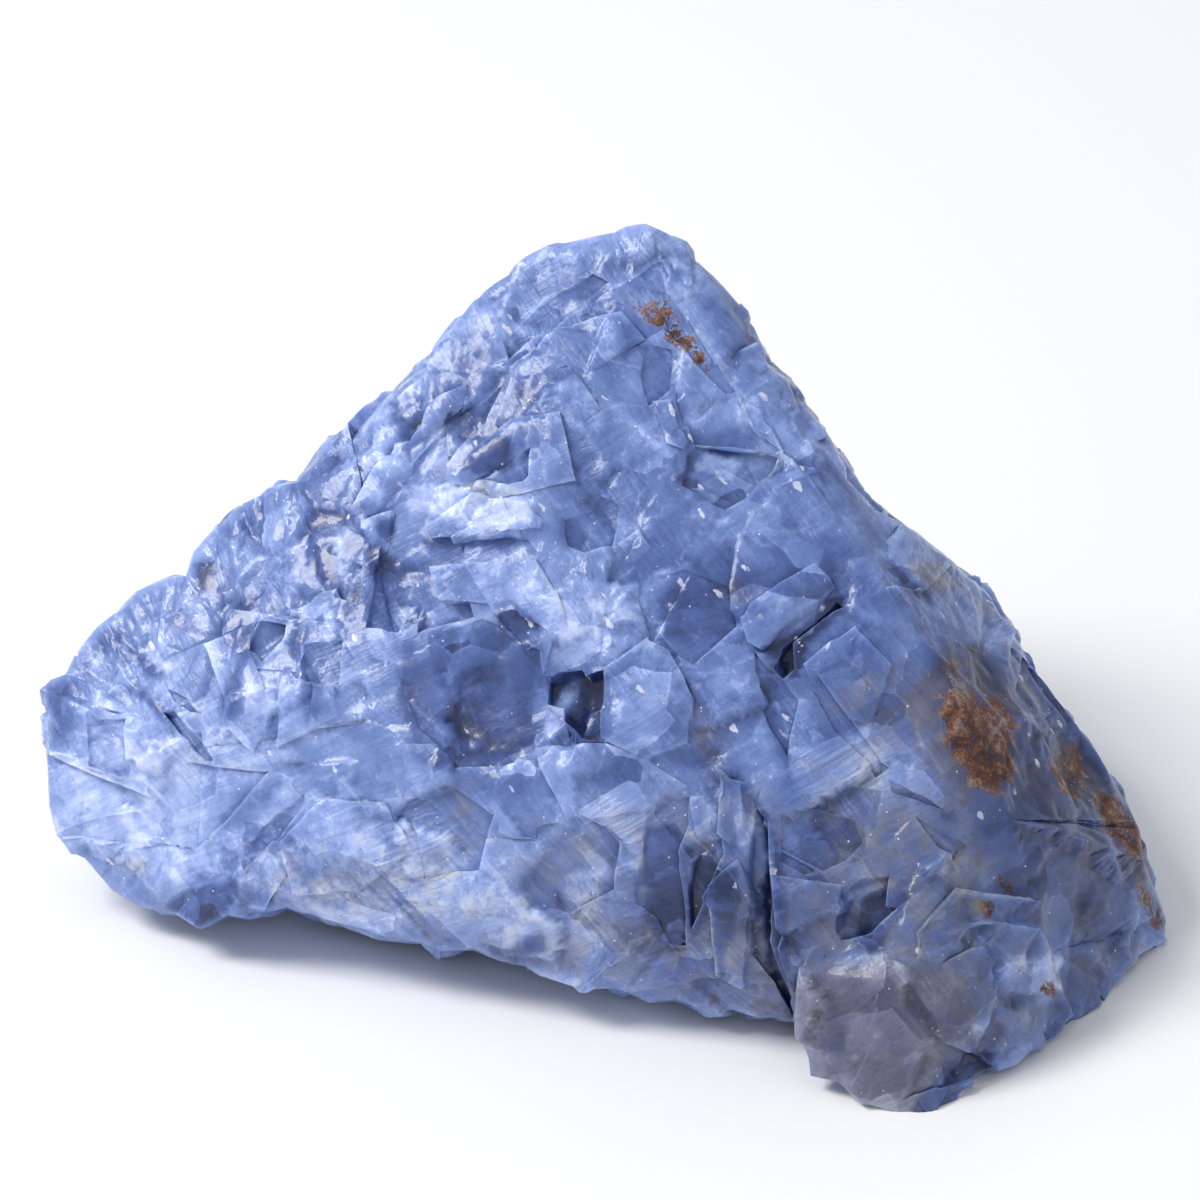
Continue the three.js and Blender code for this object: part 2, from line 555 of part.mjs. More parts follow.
// The stone without pockets closed in behind a plate: its outer skin is its biggest shell.
function withoutPockets(stone) {
  const shells = stone.decompose();
  return shells.reduce((biggest, shell) => (shell.volume() > biggest.volume() ? shell : biggest));
}

// Moves the stone so that the middle of its underside is the origin.
function seatedGeometry(geometry) {
  geometry.computeBoundingBox();
  const { min, max } = geometry.boundingBox;
  return geometry.translate(-(min.x + max.x) / 2, -(min.y + max.y) / 2, -min.z);
}

const lump = roughLump();
const chipped = restFlat(trimmed(chipShowingSide(chipHiddenSides(lump), lump)));
const calcite = new THREE.Mesh(
  seatedGeometry(withoutSplinters(geometryFrom(withoutPockets(chipped)))),
  new THREE.MeshStandardMaterial({ color: CALCITE_COLOUR, roughness: CALCITE_ROUGHNESS, metalness: 0 }),
);
calcite.name = "blue_calcite";

const group = new THREE.Group();
group.add(calcite);

export default group;
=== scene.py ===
"""Rough blue calcite: the stone's broken skin, its colours and stains, and the light it is seen in.

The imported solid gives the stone's shape and its larger terraces. Here its skin is broken finer, in the
small steps that calcite's three cleavage directions make, and dressed with one cloudy, waxy finish.
Distances on the stone are in millimetres until a mesh is written back, which is in metres.
"""
import logging
import math
from dataclasses import dataclass, field
from enum import Enum

import bmesh
import bpy
import numpy as np
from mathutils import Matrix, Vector


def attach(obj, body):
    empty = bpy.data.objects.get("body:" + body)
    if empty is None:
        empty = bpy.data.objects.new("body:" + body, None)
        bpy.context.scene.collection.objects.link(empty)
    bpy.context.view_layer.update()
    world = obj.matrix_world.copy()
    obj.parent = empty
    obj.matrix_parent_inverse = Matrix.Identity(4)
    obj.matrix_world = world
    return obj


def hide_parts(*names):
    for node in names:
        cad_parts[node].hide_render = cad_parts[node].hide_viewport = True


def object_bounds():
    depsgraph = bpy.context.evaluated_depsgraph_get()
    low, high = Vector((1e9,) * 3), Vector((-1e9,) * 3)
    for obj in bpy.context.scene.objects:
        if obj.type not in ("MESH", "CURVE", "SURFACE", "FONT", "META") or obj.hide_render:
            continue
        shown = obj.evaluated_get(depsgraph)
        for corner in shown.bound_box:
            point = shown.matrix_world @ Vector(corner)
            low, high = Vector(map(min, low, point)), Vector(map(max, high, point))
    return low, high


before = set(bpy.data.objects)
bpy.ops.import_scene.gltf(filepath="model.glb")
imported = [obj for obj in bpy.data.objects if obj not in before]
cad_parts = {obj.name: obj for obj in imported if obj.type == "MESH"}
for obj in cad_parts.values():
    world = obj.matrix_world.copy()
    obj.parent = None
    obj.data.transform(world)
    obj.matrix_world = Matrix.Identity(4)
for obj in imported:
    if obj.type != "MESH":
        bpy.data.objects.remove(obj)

CAD_BOX = [list(corner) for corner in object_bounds()]
MM = 0.001
# Further than the stone reaches, in millimetres: added to a place, it leaves nothing negative.
BEYOND = 200.0
LOG = logging.getLogger("calcite")

Outline = list[tuple[float, float]]
# A cloud's size, its seed and how many layers it has.
CloudKind = tuple[float, int, int]
Place = tuple[float, float, float]
Colour = tuple[float, float, float]
Ramp = tuple[tuple[float, Colour], ...]
Socket = bpy.types.NodeSocket
Sockets = dict[str, Socket]


class Mark(Enum):
    """What a patch of the skin is marked with. Each is an attribute of the mesh."""

    # Deep blue windows, and painted shade: recesses and the right and lower right are painted darker.
    DEEP_AND_SHADE = "deep"
    # White frost and veils, and painted light on the top and the left lobes.
    FROST_AND_LIGHT = "frost"
    RUST = "rust"
    # Tan iron stain, and painted shade that greys the lower part and the lower right.
    TAN = "tan"
    WORN = "worn"
    # Hollows that keep their depth, painted darker inside: painted shade.
    SHADED_HOLLOW = "hollow"


@dataclass(frozen=True)
class Patch:
    """A marked patch of the showing side.

    Its outline is in millimetres right of and above the side's middle, `edge` is how wide its
    border fades, and `strength` is how strong the mark is inside.
    """

    strength: float
    edge: float
    outline: Outline


@dataclass(frozen=True)
class ShowingSide:
    """The broken side that faces the viewer, and the place that it is seen from."""

    middle: Place = (-0.368, -1.669, 33.0)
    down_degrees: float = 30.0
    distance: float = 500.0

    @property
    def up(self) -> np.ndarray:
        """The direction that runs up the picture."""
        down = math.radians(self.down_degrees)
        return np.array([0.0, math.sin(down), math.cos(down)])

    @property
    def near(self) -> np.ndarray:
        """The direction from the stone to the viewer."""
        down = math.radians(self.down_degrees)
        return np.array([0.0, -math.cos(down), math.sin(down)])

    def places(self, points: np.ndarray) -> tuple[np.ndarray, np.ndarray]:
        """Finds where points of the stone are seen.

        Args:
            points: Places on the stone, one row each.

        Returns:
            How far right of, and above, the side's middle each is seen.
        """
        offset = points - np.array(self.middle)
        grow = self.distance / (self.distance - offset @ self.near)
        return offset[:, 0] * grow, (offset @ self.up) * grow


def eased(share: np.ndarray) -> np.ndarray:
    """Eases a share from 0 to 1, held at both ends."""
    held = np.clip(share, 0.0, 1.0)
    return held * held * (3.0 - 2.0 * held)


def cloud(points: np.ndarray, size: float, seed: int, octaves: int = 1, fading: float = 0.55,
          gain: float = 1.6) -> np.ndarray:
    """Gives each place a smooth random value.

    Args:
        points: Places on the stone, one row each.
        size: How far apart the largest lumps of the pattern are.
        seed: Picks one pattern of many.
        octaves: How many finer patterns are laid over each other.
        fading: How strong each finer pattern is, as a share of the one before.
        gain: What the sum is multiplied by, to fill the span of values.

    Returns:
        A value from about -1 to 1 for each place.
    """
    total, weight, weights = np.zeros(len(points)), 1.0, 0.0
    for octave in range(octaves):
        cell = size / 2**octave
        scaled = (points + BEYOND) / cell
        base = np.floor(scaled).astype(int)
        share = eased(scaled - base)
        span = base.max(axis=0) + 2
        values = np.random.default_rng(seed + octave).uniform(-1, 1, tuple(span))
        part = np.zeros(len(points))
        for corner in range(8):
            step = np.array([corner & 1, corner >> 1 & 1, corner >> 2 & 1])
            blend = np.prod(np.where(step, share, 1 - share), axis=1)
            part += blend * values[tuple((base + step).T)]
        total += weight * part
        weights += weight
        weight *= fading
    return total / weights * gain


def inside(across: np.ndarray, up: np.ndarray, outline: Outline) -> np.ndarray:
    """Measures how far inside an outline places are.

    Args:
        across: How far right each place is seen.
        up: How far up each place is seen.
        outline: The corners of the outline.

    Returns:
        The distance to the outline, negative outside it.
    """
    nearest = np.full(len(across), np.inf)
    within = np.zeros(len(across), bool)
    for (ax, ay), (bx, by) in zip(outline, outline[1:] + outline[:1]):
        side_x, side_y = bx - ax, by - ay
        share = ((across - ax) * side_x + (up - ay) * side_y) / (side_x**2 + side_y**2)
        share = np.clip(share, 0, 1)
        gap = np.hypot(across - ax - share * side_x, up - ay - share * side_y)
        nearest = np.minimum(nearest, gap)
        crosses = (ay > up) != (by > up)
        height = np.where(side_y == 0, 1.0, side_y)
        within ^= crosses & (across < side_x * (up - ay) / height + ax)
    return np.where(within, nearest, -nearest)


@dataclass(frozen=True)
class Cleavage:
    """Calcite's three cleavage directions, one of them facing the viewer and the others leaning across."""

    angle_degrees: float = 75.0
    turn_degrees: float = 40.0

    def directions(self, side: ShowingSide) -> np.ndarray:
        """Finds the directions across the three cleavage planes.

        Args:
            side: The side that faces the viewer.

        Returns:
            Three unit directions, one row each. The last one faces the viewer.
        """
        lean = math.cos(math.radians(self.angle_degrees))
        flat = math.sqrt(1 - lean * lean)
        between = (lean - lean * lean) / (flat * flat)
        turn = math.radians(self.turn_degrees)
        right = np.array([1.0, 0.0, 0.0])
        first = right * math.cos(turn) + side.up * math.sin(turn)
        across = side.up * math.cos(turn) - right * math.sin(turn)
        second = first * between + across * math.sqrt(1 - between * between)
        return np.array([first * flat + side.near * lean, second * flat + side.near * lean, side.near])


@dataclass
class Grains:
    """Grains of the stone, bounded along the cleavage: a place belongs to the nearest of many centres."""

    spacing: float
    seed: int
    rise: float
    lean_degrees: float
    flatness: float = 1.4
    softness: float = 0.12
    margin: float = 0.08

    def tilted(self, places: np.ndarray) -> tuple[np.ndarray, np.ndarray]:
        """Breaks the skin into flat facets, one for each grain.

        The facets stand above or below each other by `rise`, and lean by `lean_degrees`, at most.

        Args:
            places: How far along the three cleavage directions each place is.

        Returns:
            How far each place is lifted, and a random number from -1 to 1 of its grain's own.
        """
        stretch = np.array([1.0, 1.0, self.flatness]) / self.spacing
        scaled = (places + BEYOND) * stretch
        base = np.floor(scaled).astype(int)
        span = base.max(axis=0) + 3
        jitter = np.random.default_rng(self.seed).uniform(self.margin, 1 - self.margin, (*span, 3))
        table = np.random.default_rng(self.seed + 1).uniform(-1, 1, (*span, 4))
        slope = math.tan(math.radians(self.lean_degrees)) * self.spacing
        lift, tone, weights = (np.zeros(len(places)) for _ in range(3))
        for step in np.ndindex(3, 3, 3):
            cell = tuple((base + np.array(step) - 1).T)
            away = scaled - np.stack(cell, axis=1) - jitter[cell]
            own = table[cell]
            weight = np.exp(-np.max(np.abs(away), axis=1) * self.spacing / self.softness)
            leaning = own[:, 1] * away[:, 0] + own[:, 2] * away[:, 1]
            lift += weight * (own[:, 0] * self.rise / 2 + leaning * slope)
            tone += weight * own[:, 3]
            weights += weight
        return lift / weights, tone / weights


class NodeBoard:
    """Lays out and joins the nodes of one material."""

    def __init__(self, material: bpy.types.Material) -> None:
        """Clears the material and keeps its node tree.

        Args:
            material: The material to lay out.
        """
        material.use_nodes = True
        self.tree = material.node_tree
        self.tree.nodes.clear()

    def add(self, kind: str, settings: dict | None = None, **inputs: object) -> bpy.types.Node:
        """Adds a node.

        Args:
            kind: The node's type, without the leading word.
            settings: The node's own properties.
            inputs: Socket names, with _ for a space, and a socket or a value for each.

        Returns:
            The new node.
        """
        node = self.tree.nodes.new("ShaderNode" + kind)
        for name, value in (settings or {}).items():
            setattr(node, name, value)
        for name, value in inputs.items():
            key = int(name[1:]) if name[0] == "i" and name[1:].isdigit() else name.replace("_", " ")
            self.join(node.inputs[key], value)
        return node

    def join(self, socket: Socket, value: object) -> None:
        """Links a socket to another, or sets its value.

        Args:
            socket: The input to fill.
            value: An output socket, a number or a tuple.
        """
        if isinstance(value, Socket):
            self.tree.links.new(value, socket)
        else:
            socket.default_value = value

    def sum(self, *values: object) -> Socket:
        """Adds several numbers or sockets up."""
        total = values[0]
        for value in values[1:]:
            total = self.add("Math", {"operation": "ADD"}, i0=total, i1=value).outputs[0]
        return total

    def times(self, left: object, right: object) -> Socket:
        """Multiplies two numbers or sockets."""
        return self.add("Math", {"operation": "MULTIPLY"}, i0=left, i1=right).outputs[0]

    def spread(self, value: object, low: float, high: float, to_low: float = 0.0,
               to_high: float = 1.0) -> Socket:
        """Maps a value from one span to another, eased and held at the ends.

        Args:
            value: The socket to map.
            low: The start of the span it comes from.
            high: The end of that span.
            to_low: What the start becomes.
            to_high: What the end becomes.

        Returns:
            The mapped value.
        """
        node = self.add("MapRange", {"interpolation_type": "SMOOTHSTEP"}, Value=value)
        node.inputs["From Min"].default_value = low
        node.inputs["From Max"].default_value = high
        node.inputs["To Min"].default_value = to_low
        node.inputs["To Max"].default_value = to_high
        return node.outputs["Result"]

    def blended(self, share: object, first: object, second: object) -> Socket:
        """Blends from a first colour to a second.

        Args:
            share: How much of the second colour there is.
            first: A colour or a socket.
            second: A colour or a socket.

        Returns:
            The blended colour.
        """
        node = self.add("Mix", {"data_type": "RGBA"})
        self.join(node.inputs["Factor"], share)
        self.join(node.inputs[6], first)
        self.join(node.inputs[7], second)
        return node.outputs[2]

    def ramp(self, value: object, stops: Ramp) -> Socket:
        """Turns a value into a colour.

        Args:
            value: The socket that runs along the ramp.
            stops: Places on the ramp, with the colour of each.

        Returns:
            The colour.
        """
        node = self.add("ValToRGB", Fac=value)
        elements = node.color_ramp.elements
        while len(elements) < len(stops):
            elements.new(0.5)
        for element, (place, colour) in zip(elements, stops):
            element.position = place
            element.color = (*colour, 1)
        return node.outputs["Color"]


# Cloudy patterns: lumps a millimetre, how many finer layers there are, and how strong these are.
CLOUDS = {
    "wide": (0.075, 2, 0.5),
    "middling": (0.3, 3, 0.5),
    "small": (0.8, 4, 0.6),
    "fine": (3.0, 3, 0.6),
}
# Streaks: the same, with the lumps a millimetre along each cleavage direction.
STREAKS = {
    "stripes": ((0.16, 3.2, 0.5), 3, 0.6),
    "combed": ((2.8, 0.12, 0.5), 3, 0.6),
    "veils": ((0.10, 0.42, 0.3), 5, 0.62),
    "wisps": ((0.5, 0.13, 0.3), 5, 0.65),
}
# Facets in the skin: how many a millimetre.
FACETS = {"plate": 0.14, "chip": 0.42}
# The span of a pattern over which its effect grows from none to full, or from full to another share.
SPANS = {
    "rough": (-0.1, 0.25), "combing": (0.02, 0.2), "veil": (0.06, 0.34), "wisp": (0.08, 0.36),
    "crumbled": (-0.1, 0.25), "turned": (-0.1, 0.1), "broken": (0.46, 0.54),
    "border": (0.0, 0.05, 1.0, 0.0),
    "pale_chip": (0.5, 0.54), "pale_veil": (0.0, 0.16),
    "tan": (0.02, 0.95), "near_tan": (0.0, 0.12), "not_deep": (0.45, 0.9, 1.0, 0.3),
    "rust": (0.40, 0.72), "near_rust": (0.02, 0.1),
    "some_flecks": (0.93, 0.94), "in_fleck": (0.17, 0.24, 1.0, 0.0),
    "some_dots": (0.945, 0.955), "in_dot": (0.14, 0.24, 1.0, 0.0), "speckled": (-0.16, 0.06),
}
# What lightens the stone, from 0 for the deepest blue to 1 for the palest, and how much. Of these, ridges
# lighter and creases darker are painted highlight and painted shade, the light streaks on plate borders
# are painted glints, the hollows' darkening is painted shade, and the deep and frost marks carry painted
# shade and painted light as well as the stone's own deep blue and white.
LIGHTENING = {
    "tone": 0.07, "relief_light_and_shade": 0.17, "plate_pick": 0.06, "plate_slope": 0.035, "rough_chips": 0.06,
    "pale_chips": 0.12, "wide": 0.45, "middling": 0.36, "small": 0.16, "fine": 0.10, "veil": 0.13,
    "wisp": 0.13, "brushed": 0.4, "deep": -0.36, "broken_deep": -0.09, "hollow": -0.12,
    "frost": 0.30, "broken_frost": 0.07, "frost_grain": 0.4, "glint_lines": 0.17,
}
# What raises the skin, in millimetres, and what dulls it.
RAISING = {
    "plate_slope": 0.24, "rough_slope": 0.30, "combed_stripes": 0.22, "combed": 0.08, "fine": 0.04,
    "small": 0.10, "rust_grain": 1.1,
}
DULLING = {"frost": 0.12, "rusted": 0.4, "fine": 0.30, "deep": 0.05}
# What bends the edges of the marked patches and of the flecks, and mottles the rust.
CRUMBLING = {"small": 0.9, "fine": 0.6}
TAN_EDGE = {"middling": 1.3, "small": 1.0}
RUST_EDGE = {"small": 2.6, "fine": 2.4}
# The rust's mottling also takes in the painted light on ridges and painted shade in creases.
RUST_MOTTLE = {"middling": 1.2, "small": 1.6, "fine": 1.1, "relief_light_and_shade": 0.2}
FLECK_PICK = {"deep": 0.10, "tan": -0.3}
FLECK_EDGE = {"small": 1.1}


class PatternBoard(NodeBoard):
    """A board that keeps its patterns by name."""

    def __init__(self, material: bpy.types.Material) -> None:
        """Starts with no patterns."""
        super().__init__(material)
        self.patterns: Sockets = {}

    def __getitem__(self, name: str) -> Socket:
        """Gives a pattern."""
        return self.patterns[name]

    def __setitem__(self, name: str, socket: Socket) -> None:
        """Keeps a pattern."""
        self.patterns[name] = socket

    def weighed(self, base: object, shares: dict[str, float]) -> Socket:
        """Adds a share of each of several patterns to a number or a socket."""
        return self.sum(base, *(self.times(self[name], share) for name, share in shares.items()))

    def eased(self, span: str, value: object) -> Socket:
        """Maps a value over one of the named spans."""
        return self.spread(value, *SPANS[span])

    def noise(self, where: Socket, scale: float, layers: float, roughness: float) -> Socket:
        """Adds a cloudy pattern around nought.

        Args:
            where: The place that it is looked up at.
            scale: How fine it is.
            layers: How many finer patterns are laid over it.
            roughness: How strong the finer ones are.

        Returns:
            A value from about -0.3 to 0.3.
        """
        node = self.add("TexNoise", Vector=where, Scale=scale, Detail=layers, Roughness=roughness)
        return self.sum(node.outputs[0], -0.5)

    def stretched(self, where: Socket, scale: Place) -> Socket:
        """Scales a place by an amount of its own along each axis."""
        return self.add("Mapping", Vector=where, Scale=scale).outputs[0]

    def bent(self, where: Socket, scale: float, reach: float) -> Socket:
        """Bends places about a little, so that no border runs dead straight.

        Args:
            where: The place, in millimetres.
            scale: How fine the bends are.
            reach: How far a place is moved, at most.

        Returns:
            The moved place.
        """
        drift = self.add("TexNoise", Vector=where, Scale=scale, Detail=3).outputs["Color"]
        centred = self.add("VectorMath", {"operation": "SUBTRACT"}, i0=drift, i1=(0.5,) * 3)
        node = self.add("VectorMath", {"operation": "MULTIPLY_ADD"}, i0=centred.outputs[0],
                        i1=(2 * reach,) * 3, i2=where)
        return node.outputs[0]

    def along(self, where: Socket, directions: np.ndarray) -> Socket:
        """Measures places along three directions.

        Args:
            where: The place.
            directions: The directions, one row each.

        Returns:
            How far along each direction the place is.
        """
        dot = {"operation": "DOT_PRODUCT"}
        x, y, z = (
            self.add("VectorMath", dot, i0=where, i1=tuple(direction)).outputs["Value"]
            for direction in directions
        )
        return self.add("CombineXYZ", X=x, Y=y, Z=z).outputs[0]

    def facets(self, along: Socket, scale: float) -> Sockets:
        """Divides the skin into flat facets along the cleavage.

        Args:
            along: How far along the cleavage directions a place is.
            scale: How many facets there are in a millimetre.

        Returns:
            A random number of each facet's own, the slope across it and the line of its border.
        """
        settings = {"distance": "CHEBYCHEV"}
        nearest = self.add("TexVoronoi", settings, Vector=along, Scale=scale)
        second = self.add("TexVoronoi", {**settings, "feature": "F2"}, Vector=along, Scale=scale)
        less, dot = {"operation": "SUBTRACT"}, {"operation": "DOT_PRODUCT"}
        random = self.add("VectorMath", less, i0=nearest.outputs["Color"], i1=(0.5,) * 3)
        away = self.add("VectorMath", less, i0=along, i1=nearest.outputs["Position"])
        slope = self.add("VectorMath", dot, i0=away.outputs[0], i1=random.outputs[0])
        gap = self.sum(second.outputs["Distance"], self.times(nearest.outputs["Distance"], -1.0))
        pick = self.add("SeparateXYZ", Vector=random.outputs[0]).outputs[0]
        return {
            "pick": self.times(pick, 2.0),
            "slope": slope.outputs["Value"],
            "border": self.eased("border", gap),
        }


@dataclass(frozen=True)
class CalciteFinish:
    """Cloudy blue calcite: deep blue windows, white veils, rust in the hollows and a waxy gloss, with
    painted shade in recesses and low down, painted light on the top and left, and painted glints.
    """

    side: ShowingSide
    cleavage: Cleavage
    name: str = "blue_calcite_skin"
    blues: Ramp = (
        (0.0, (0.020, 0.032, 0.105)),
        (0.15, (0.045, 0.077, 0.230)),
        (0.32, (0.080, 0.132, 0.350)),
        (0.50, (0.144, 0.218, 0.480)),
        (0.66, (0.234, 0.324, 0.630)),
        (0.82, (0.358, 0.454, 0.775)),
        (1.0, (0.560, 0.635, 0.890)),
    )
    rusts: Ramp = (
        (0.20, (0.030, 0.010, 0.007)),
        (0.50, (0.110, 0.034, 0.016)),
        (0.66, (0.200, 0.085, 0.045)),
        (0.85, (0.230, 0.190, 0.190)),
    )
    tans: Ramp = (
        (0.12, (0.035, 0.030, 0.036)),
        (0.40, (0.115, 0.100, 0.108)),
        (0.62, (0.215, 0.205, 0.235)),
        (0.90, (0.430, 0.440, 0.500)),
    )
    # The white of the flecks and of the painted glints.
    fleck_and_glint_white: Colour = (0.80, 0.83, 0.95)
    middle_tone: float = 0.50
    middle_rust: float = 0.48
    least_brushed: float = 0.65
    strongest_tan: float = 0.75
    strongest_fleck_or_glint: float = 0.7
    worn_calm: float = -0.5
    deep_calm: float = -0.8
    dullness: float = 0.30
    border_bends: tuple[float, float] = (0.12, 0.7)
    fleck_stretch: Place = (0.95, 0.42, 0.75)
    glint_dots_per_mm: float = 1.9
    gloss: tuple[tuple[str, object], ...] = (
        ("IOR", 1.5), ("Subsurface Weight", 0.45), ("Subsurface Radius", (0.7, 0.85, 1.4)),
        ("Subsurface Scale", 0.0016), ("Coat Weight", 0.25), ("Coat Roughness", 0.10),
        ("Specular IOR Level", 0.4),
    )

    def material(self) -> bpy.types.Material:
        """Builds the finish.

        Returns:
            The material.
        """
        material = bpy.data.materials.new(self.name)
        board = PatternBoard(material)
        self._lay(board)
        self._mix(board)
        colour = self._flecked_and_glinted(board, self._stained(board))
        roughness = board.weighed(self.dullness, DULLING)
        height = board.times(board["still"], board.weighed(0.0, RAISING))
        bump = board.add("Bump", Strength=1.0, Distance=MM, Height=height)
        skin = board.add("BsdfPrincipled", Base_Color=colour, Roughness=roughness, Normal=bump.outputs[0])
        for socket, number in self.gloss:
            skin.inputs[socket].default_value = number
        output = board.add("OutputMaterial")
        board.join(output.inputs["Surface"], skin.outputs[0])
        return material

    def _lay(self, board: PatternBoard) -> None:
        """Adds the marks and the plain patterns.

        Args:
            board: The board to add them to.
        """
        place = board.add("TexCoord").outputs["Object"]
        mm = board["mm"] = board.stretched(place, (1 / MM,) * 3)
        along = board["along"] = board.along(
            board.bent(mm, *self.border_bends), self.cleavage.directions(self.side))
        # Besides the marks, the grains' tone and the painted light and shade of ridges and creases are
        # read.
        for name in (*(mark.value for mark in Mark), "tone", "relief_light_and_shade"):
            board[name] = board.add("Attribute", {"attribute_name": name}).outputs["Fac"]
        for name, (scale, layers, roughness) in CLOUDS.items():
            board[name] = board.noise(mm, scale, layers, roughness)
        for name, (stretch, layers, roughness) in STREAKS.items():
            board[name] = board.noise(board.stretched(along, stretch), 1.0, layers, roughness)
        for kind, scale in FACETS.items():
            for name, socket in board.facets(along, scale).items():
                board[f"{kind}_{name}"] = socket

    def _mix(self, board: PatternBoard) -> None:
        """Adds the patterns that are made of others.

        Args:
            board: The board with the marks and the plain patterns.
        """
        board["still"] = board.weighed(1.0, {"deep": self.deep_calm})
        board["rough"] = board.eased("rough", board.weighed(board["middling"], {"worn": self.worn_calm}))
        board["combing"] = board.eased("combing", board["wide"])
        board["veil"] = board.eased("veil", board["veils"])
        board["wisp"] = board.eased("wisp", board["wisps"])
        # Painted glints: thin light streaks along the plates' borders.
        board["glint_lines"] = board.times(board["plate_border"], board.eased("crumbled", board["small"]))
        turned = board.eased("turned", board["plate_pick"])
        straight = board.sum(1.0, board.times(turned, -1.0))
        brushed = board.sum(board.times(board["stripes"], turned), board.times(board["combed"], straight))
        combing = board.sum(self.least_brushed, board["combing"])
        board["brushed"] = board.times(board.times(brushed, board["still"]), combing)
        chips = board.sum(board["chip_pick"], board["chip_slope"])
        board["rough_chips"] = board.times(chips, board["rough"])
        board["rough_slope"] = board.times(board["chip_slope"], board["rough"])
        board["pale_chips"] = board.times(
            board.eased("pale_chip", board["chip_pick"]), board.eased("pale_veil", board["veils"]))
        board["combed_stripes"] = board.times(board["stripes"], board["combing"])
        board["frost_grain"] = board.times(board["frost"], board["small"])
        board["rust_grain"] = board.times(board["rust"], board["small"])
        for name in ("deep", "frost"):
            board[f"broken_{name}"] = board.eased("broken", board.weighed(board[name], CRUMBLING))

    def _stained(self, board: PatternBoard) -> Socket:
        """Works out the stone's blue, with the painted light and shade in it, and stains it tan, which is
        in part painted shade, and rust.

        Args:
            board: The board with the patterns, to which the rust's share is added.

        Returns:
            The colour.
        """
        value = board.weighed(self.middle_tone, LIGHTENING)
        stone = board.ramp(value, self.blues)
        tan_share = board.eased("tan", board.weighed(board["tan"], TAN_EDGE))
        tan_share = board.times(tan_share, board.eased("near_tan", board["tan"]))
        tan_share = board.times(tan_share, board.eased("not_deep", board["deep"]))
        tan_share = board.times(tan_share, self.strongest_tan)
        stained = board.blended(tan_share, stone, board.ramp(value, self.tans))
        rust_edge = board.eased("rust", board.weighed(board["rust"], RUST_EDGE))
        board["rusted"] = board.times(rust_edge, board.eased("near_rust", board["rust"]))
        rust = board.ramp(board.weighed(self.middle_rust, RUST_MOTTLE), self.rusts)
        return board.blended(board["rusted"], stained, rust)

    def _flecked_and_glinted(self, board: PatternBoard, colour: Socket) -> Socket:
        """Lays long white flecks, and round white spots that are painted glints, on a colour.

        Args:
            board: The board with the patterns.
            colour: The colour underneath.

        Returns:
            The speckled colour.
        """
        stretched = board.stretched(board["along"], self.fleck_stretch)
        flecks = board.add("TexVoronoi", Vector=stretched, Scale=1.0)
        fleck_pick = board.add("SeparateColor", Color=flecks.outputs["Color"]).outputs[0]
        fleck = board.times(
            board.eased("some_flecks", board.weighed(fleck_pick, FLECK_PICK)),
            board.eased("in_fleck", board.weighed(flecks.outputs["Distance"], FLECK_EDGE)))
        # Painted glints: small round white spots, spread sparsely over the stone.
        glint_dots = board.add("TexVoronoi", Vector=board["mm"], Scale=self.glint_dots_per_mm)
        glint_pick = board.add("SeparateColor", Color=glint_dots.outputs["Color"]).outputs[0]
        dot = board.times(
            board.eased("some_dots", glint_pick), board.eased("in_dot", glint_dots.outputs["Distance"]))
        share = board.add("Math", {"operation": "MAXIMUM"}, i0=fleck, i1=dot).outputs[0]
        clean = board.weighed(1.0, {"rusted": -1.0})
        share = board.times(share, board.times(board.eased("speckled", board["middling"]), clean))
        return board.blended(board.times(share, self.strongest_fleck_or_glint), colour, (*self.fleck_and_glint_white, 1))


def patches(*rows: tuple) -> list[Patch]:
    """Makes patches of rows of numbers.

    Args:
        rows: For each patch its strength, its edge, and its corners x, y, x, y and so on. These are
            in pixels of a picture of the showing side that is 1200 wide, 10 to a millimetre.

    Returns:
        The patches.
    """
    return [
        Patch(strength, edge, [((x - 600) / 10, (600 - y) / 10) for x, y in zip(spots[::2], spots[1::2])])
        for strength, edge, *spots in rows
    ]


# Marks of the hidden sides: the size and seed of a cloud, where in it a mark starts, and its strength.
HIDDEN_MARKS = {
    Mark.DEEP_AND_SHADE: (11.0, 71, 0.28, 0.75), Mark.FROST_AND_LIGHT: (8.0, 73, 0.25, 0.7),
    Mark.RUST: (9.0, 79, 0.72, 0.9), Mark.TAN: (14.0, 83, 0.55, 0.7),
    Mark.WORN: (26.0, 89, 0.1, 0.7), Mark.SHADED_HOLLOW: (7.0, 97, 0.5, 0.8),
}


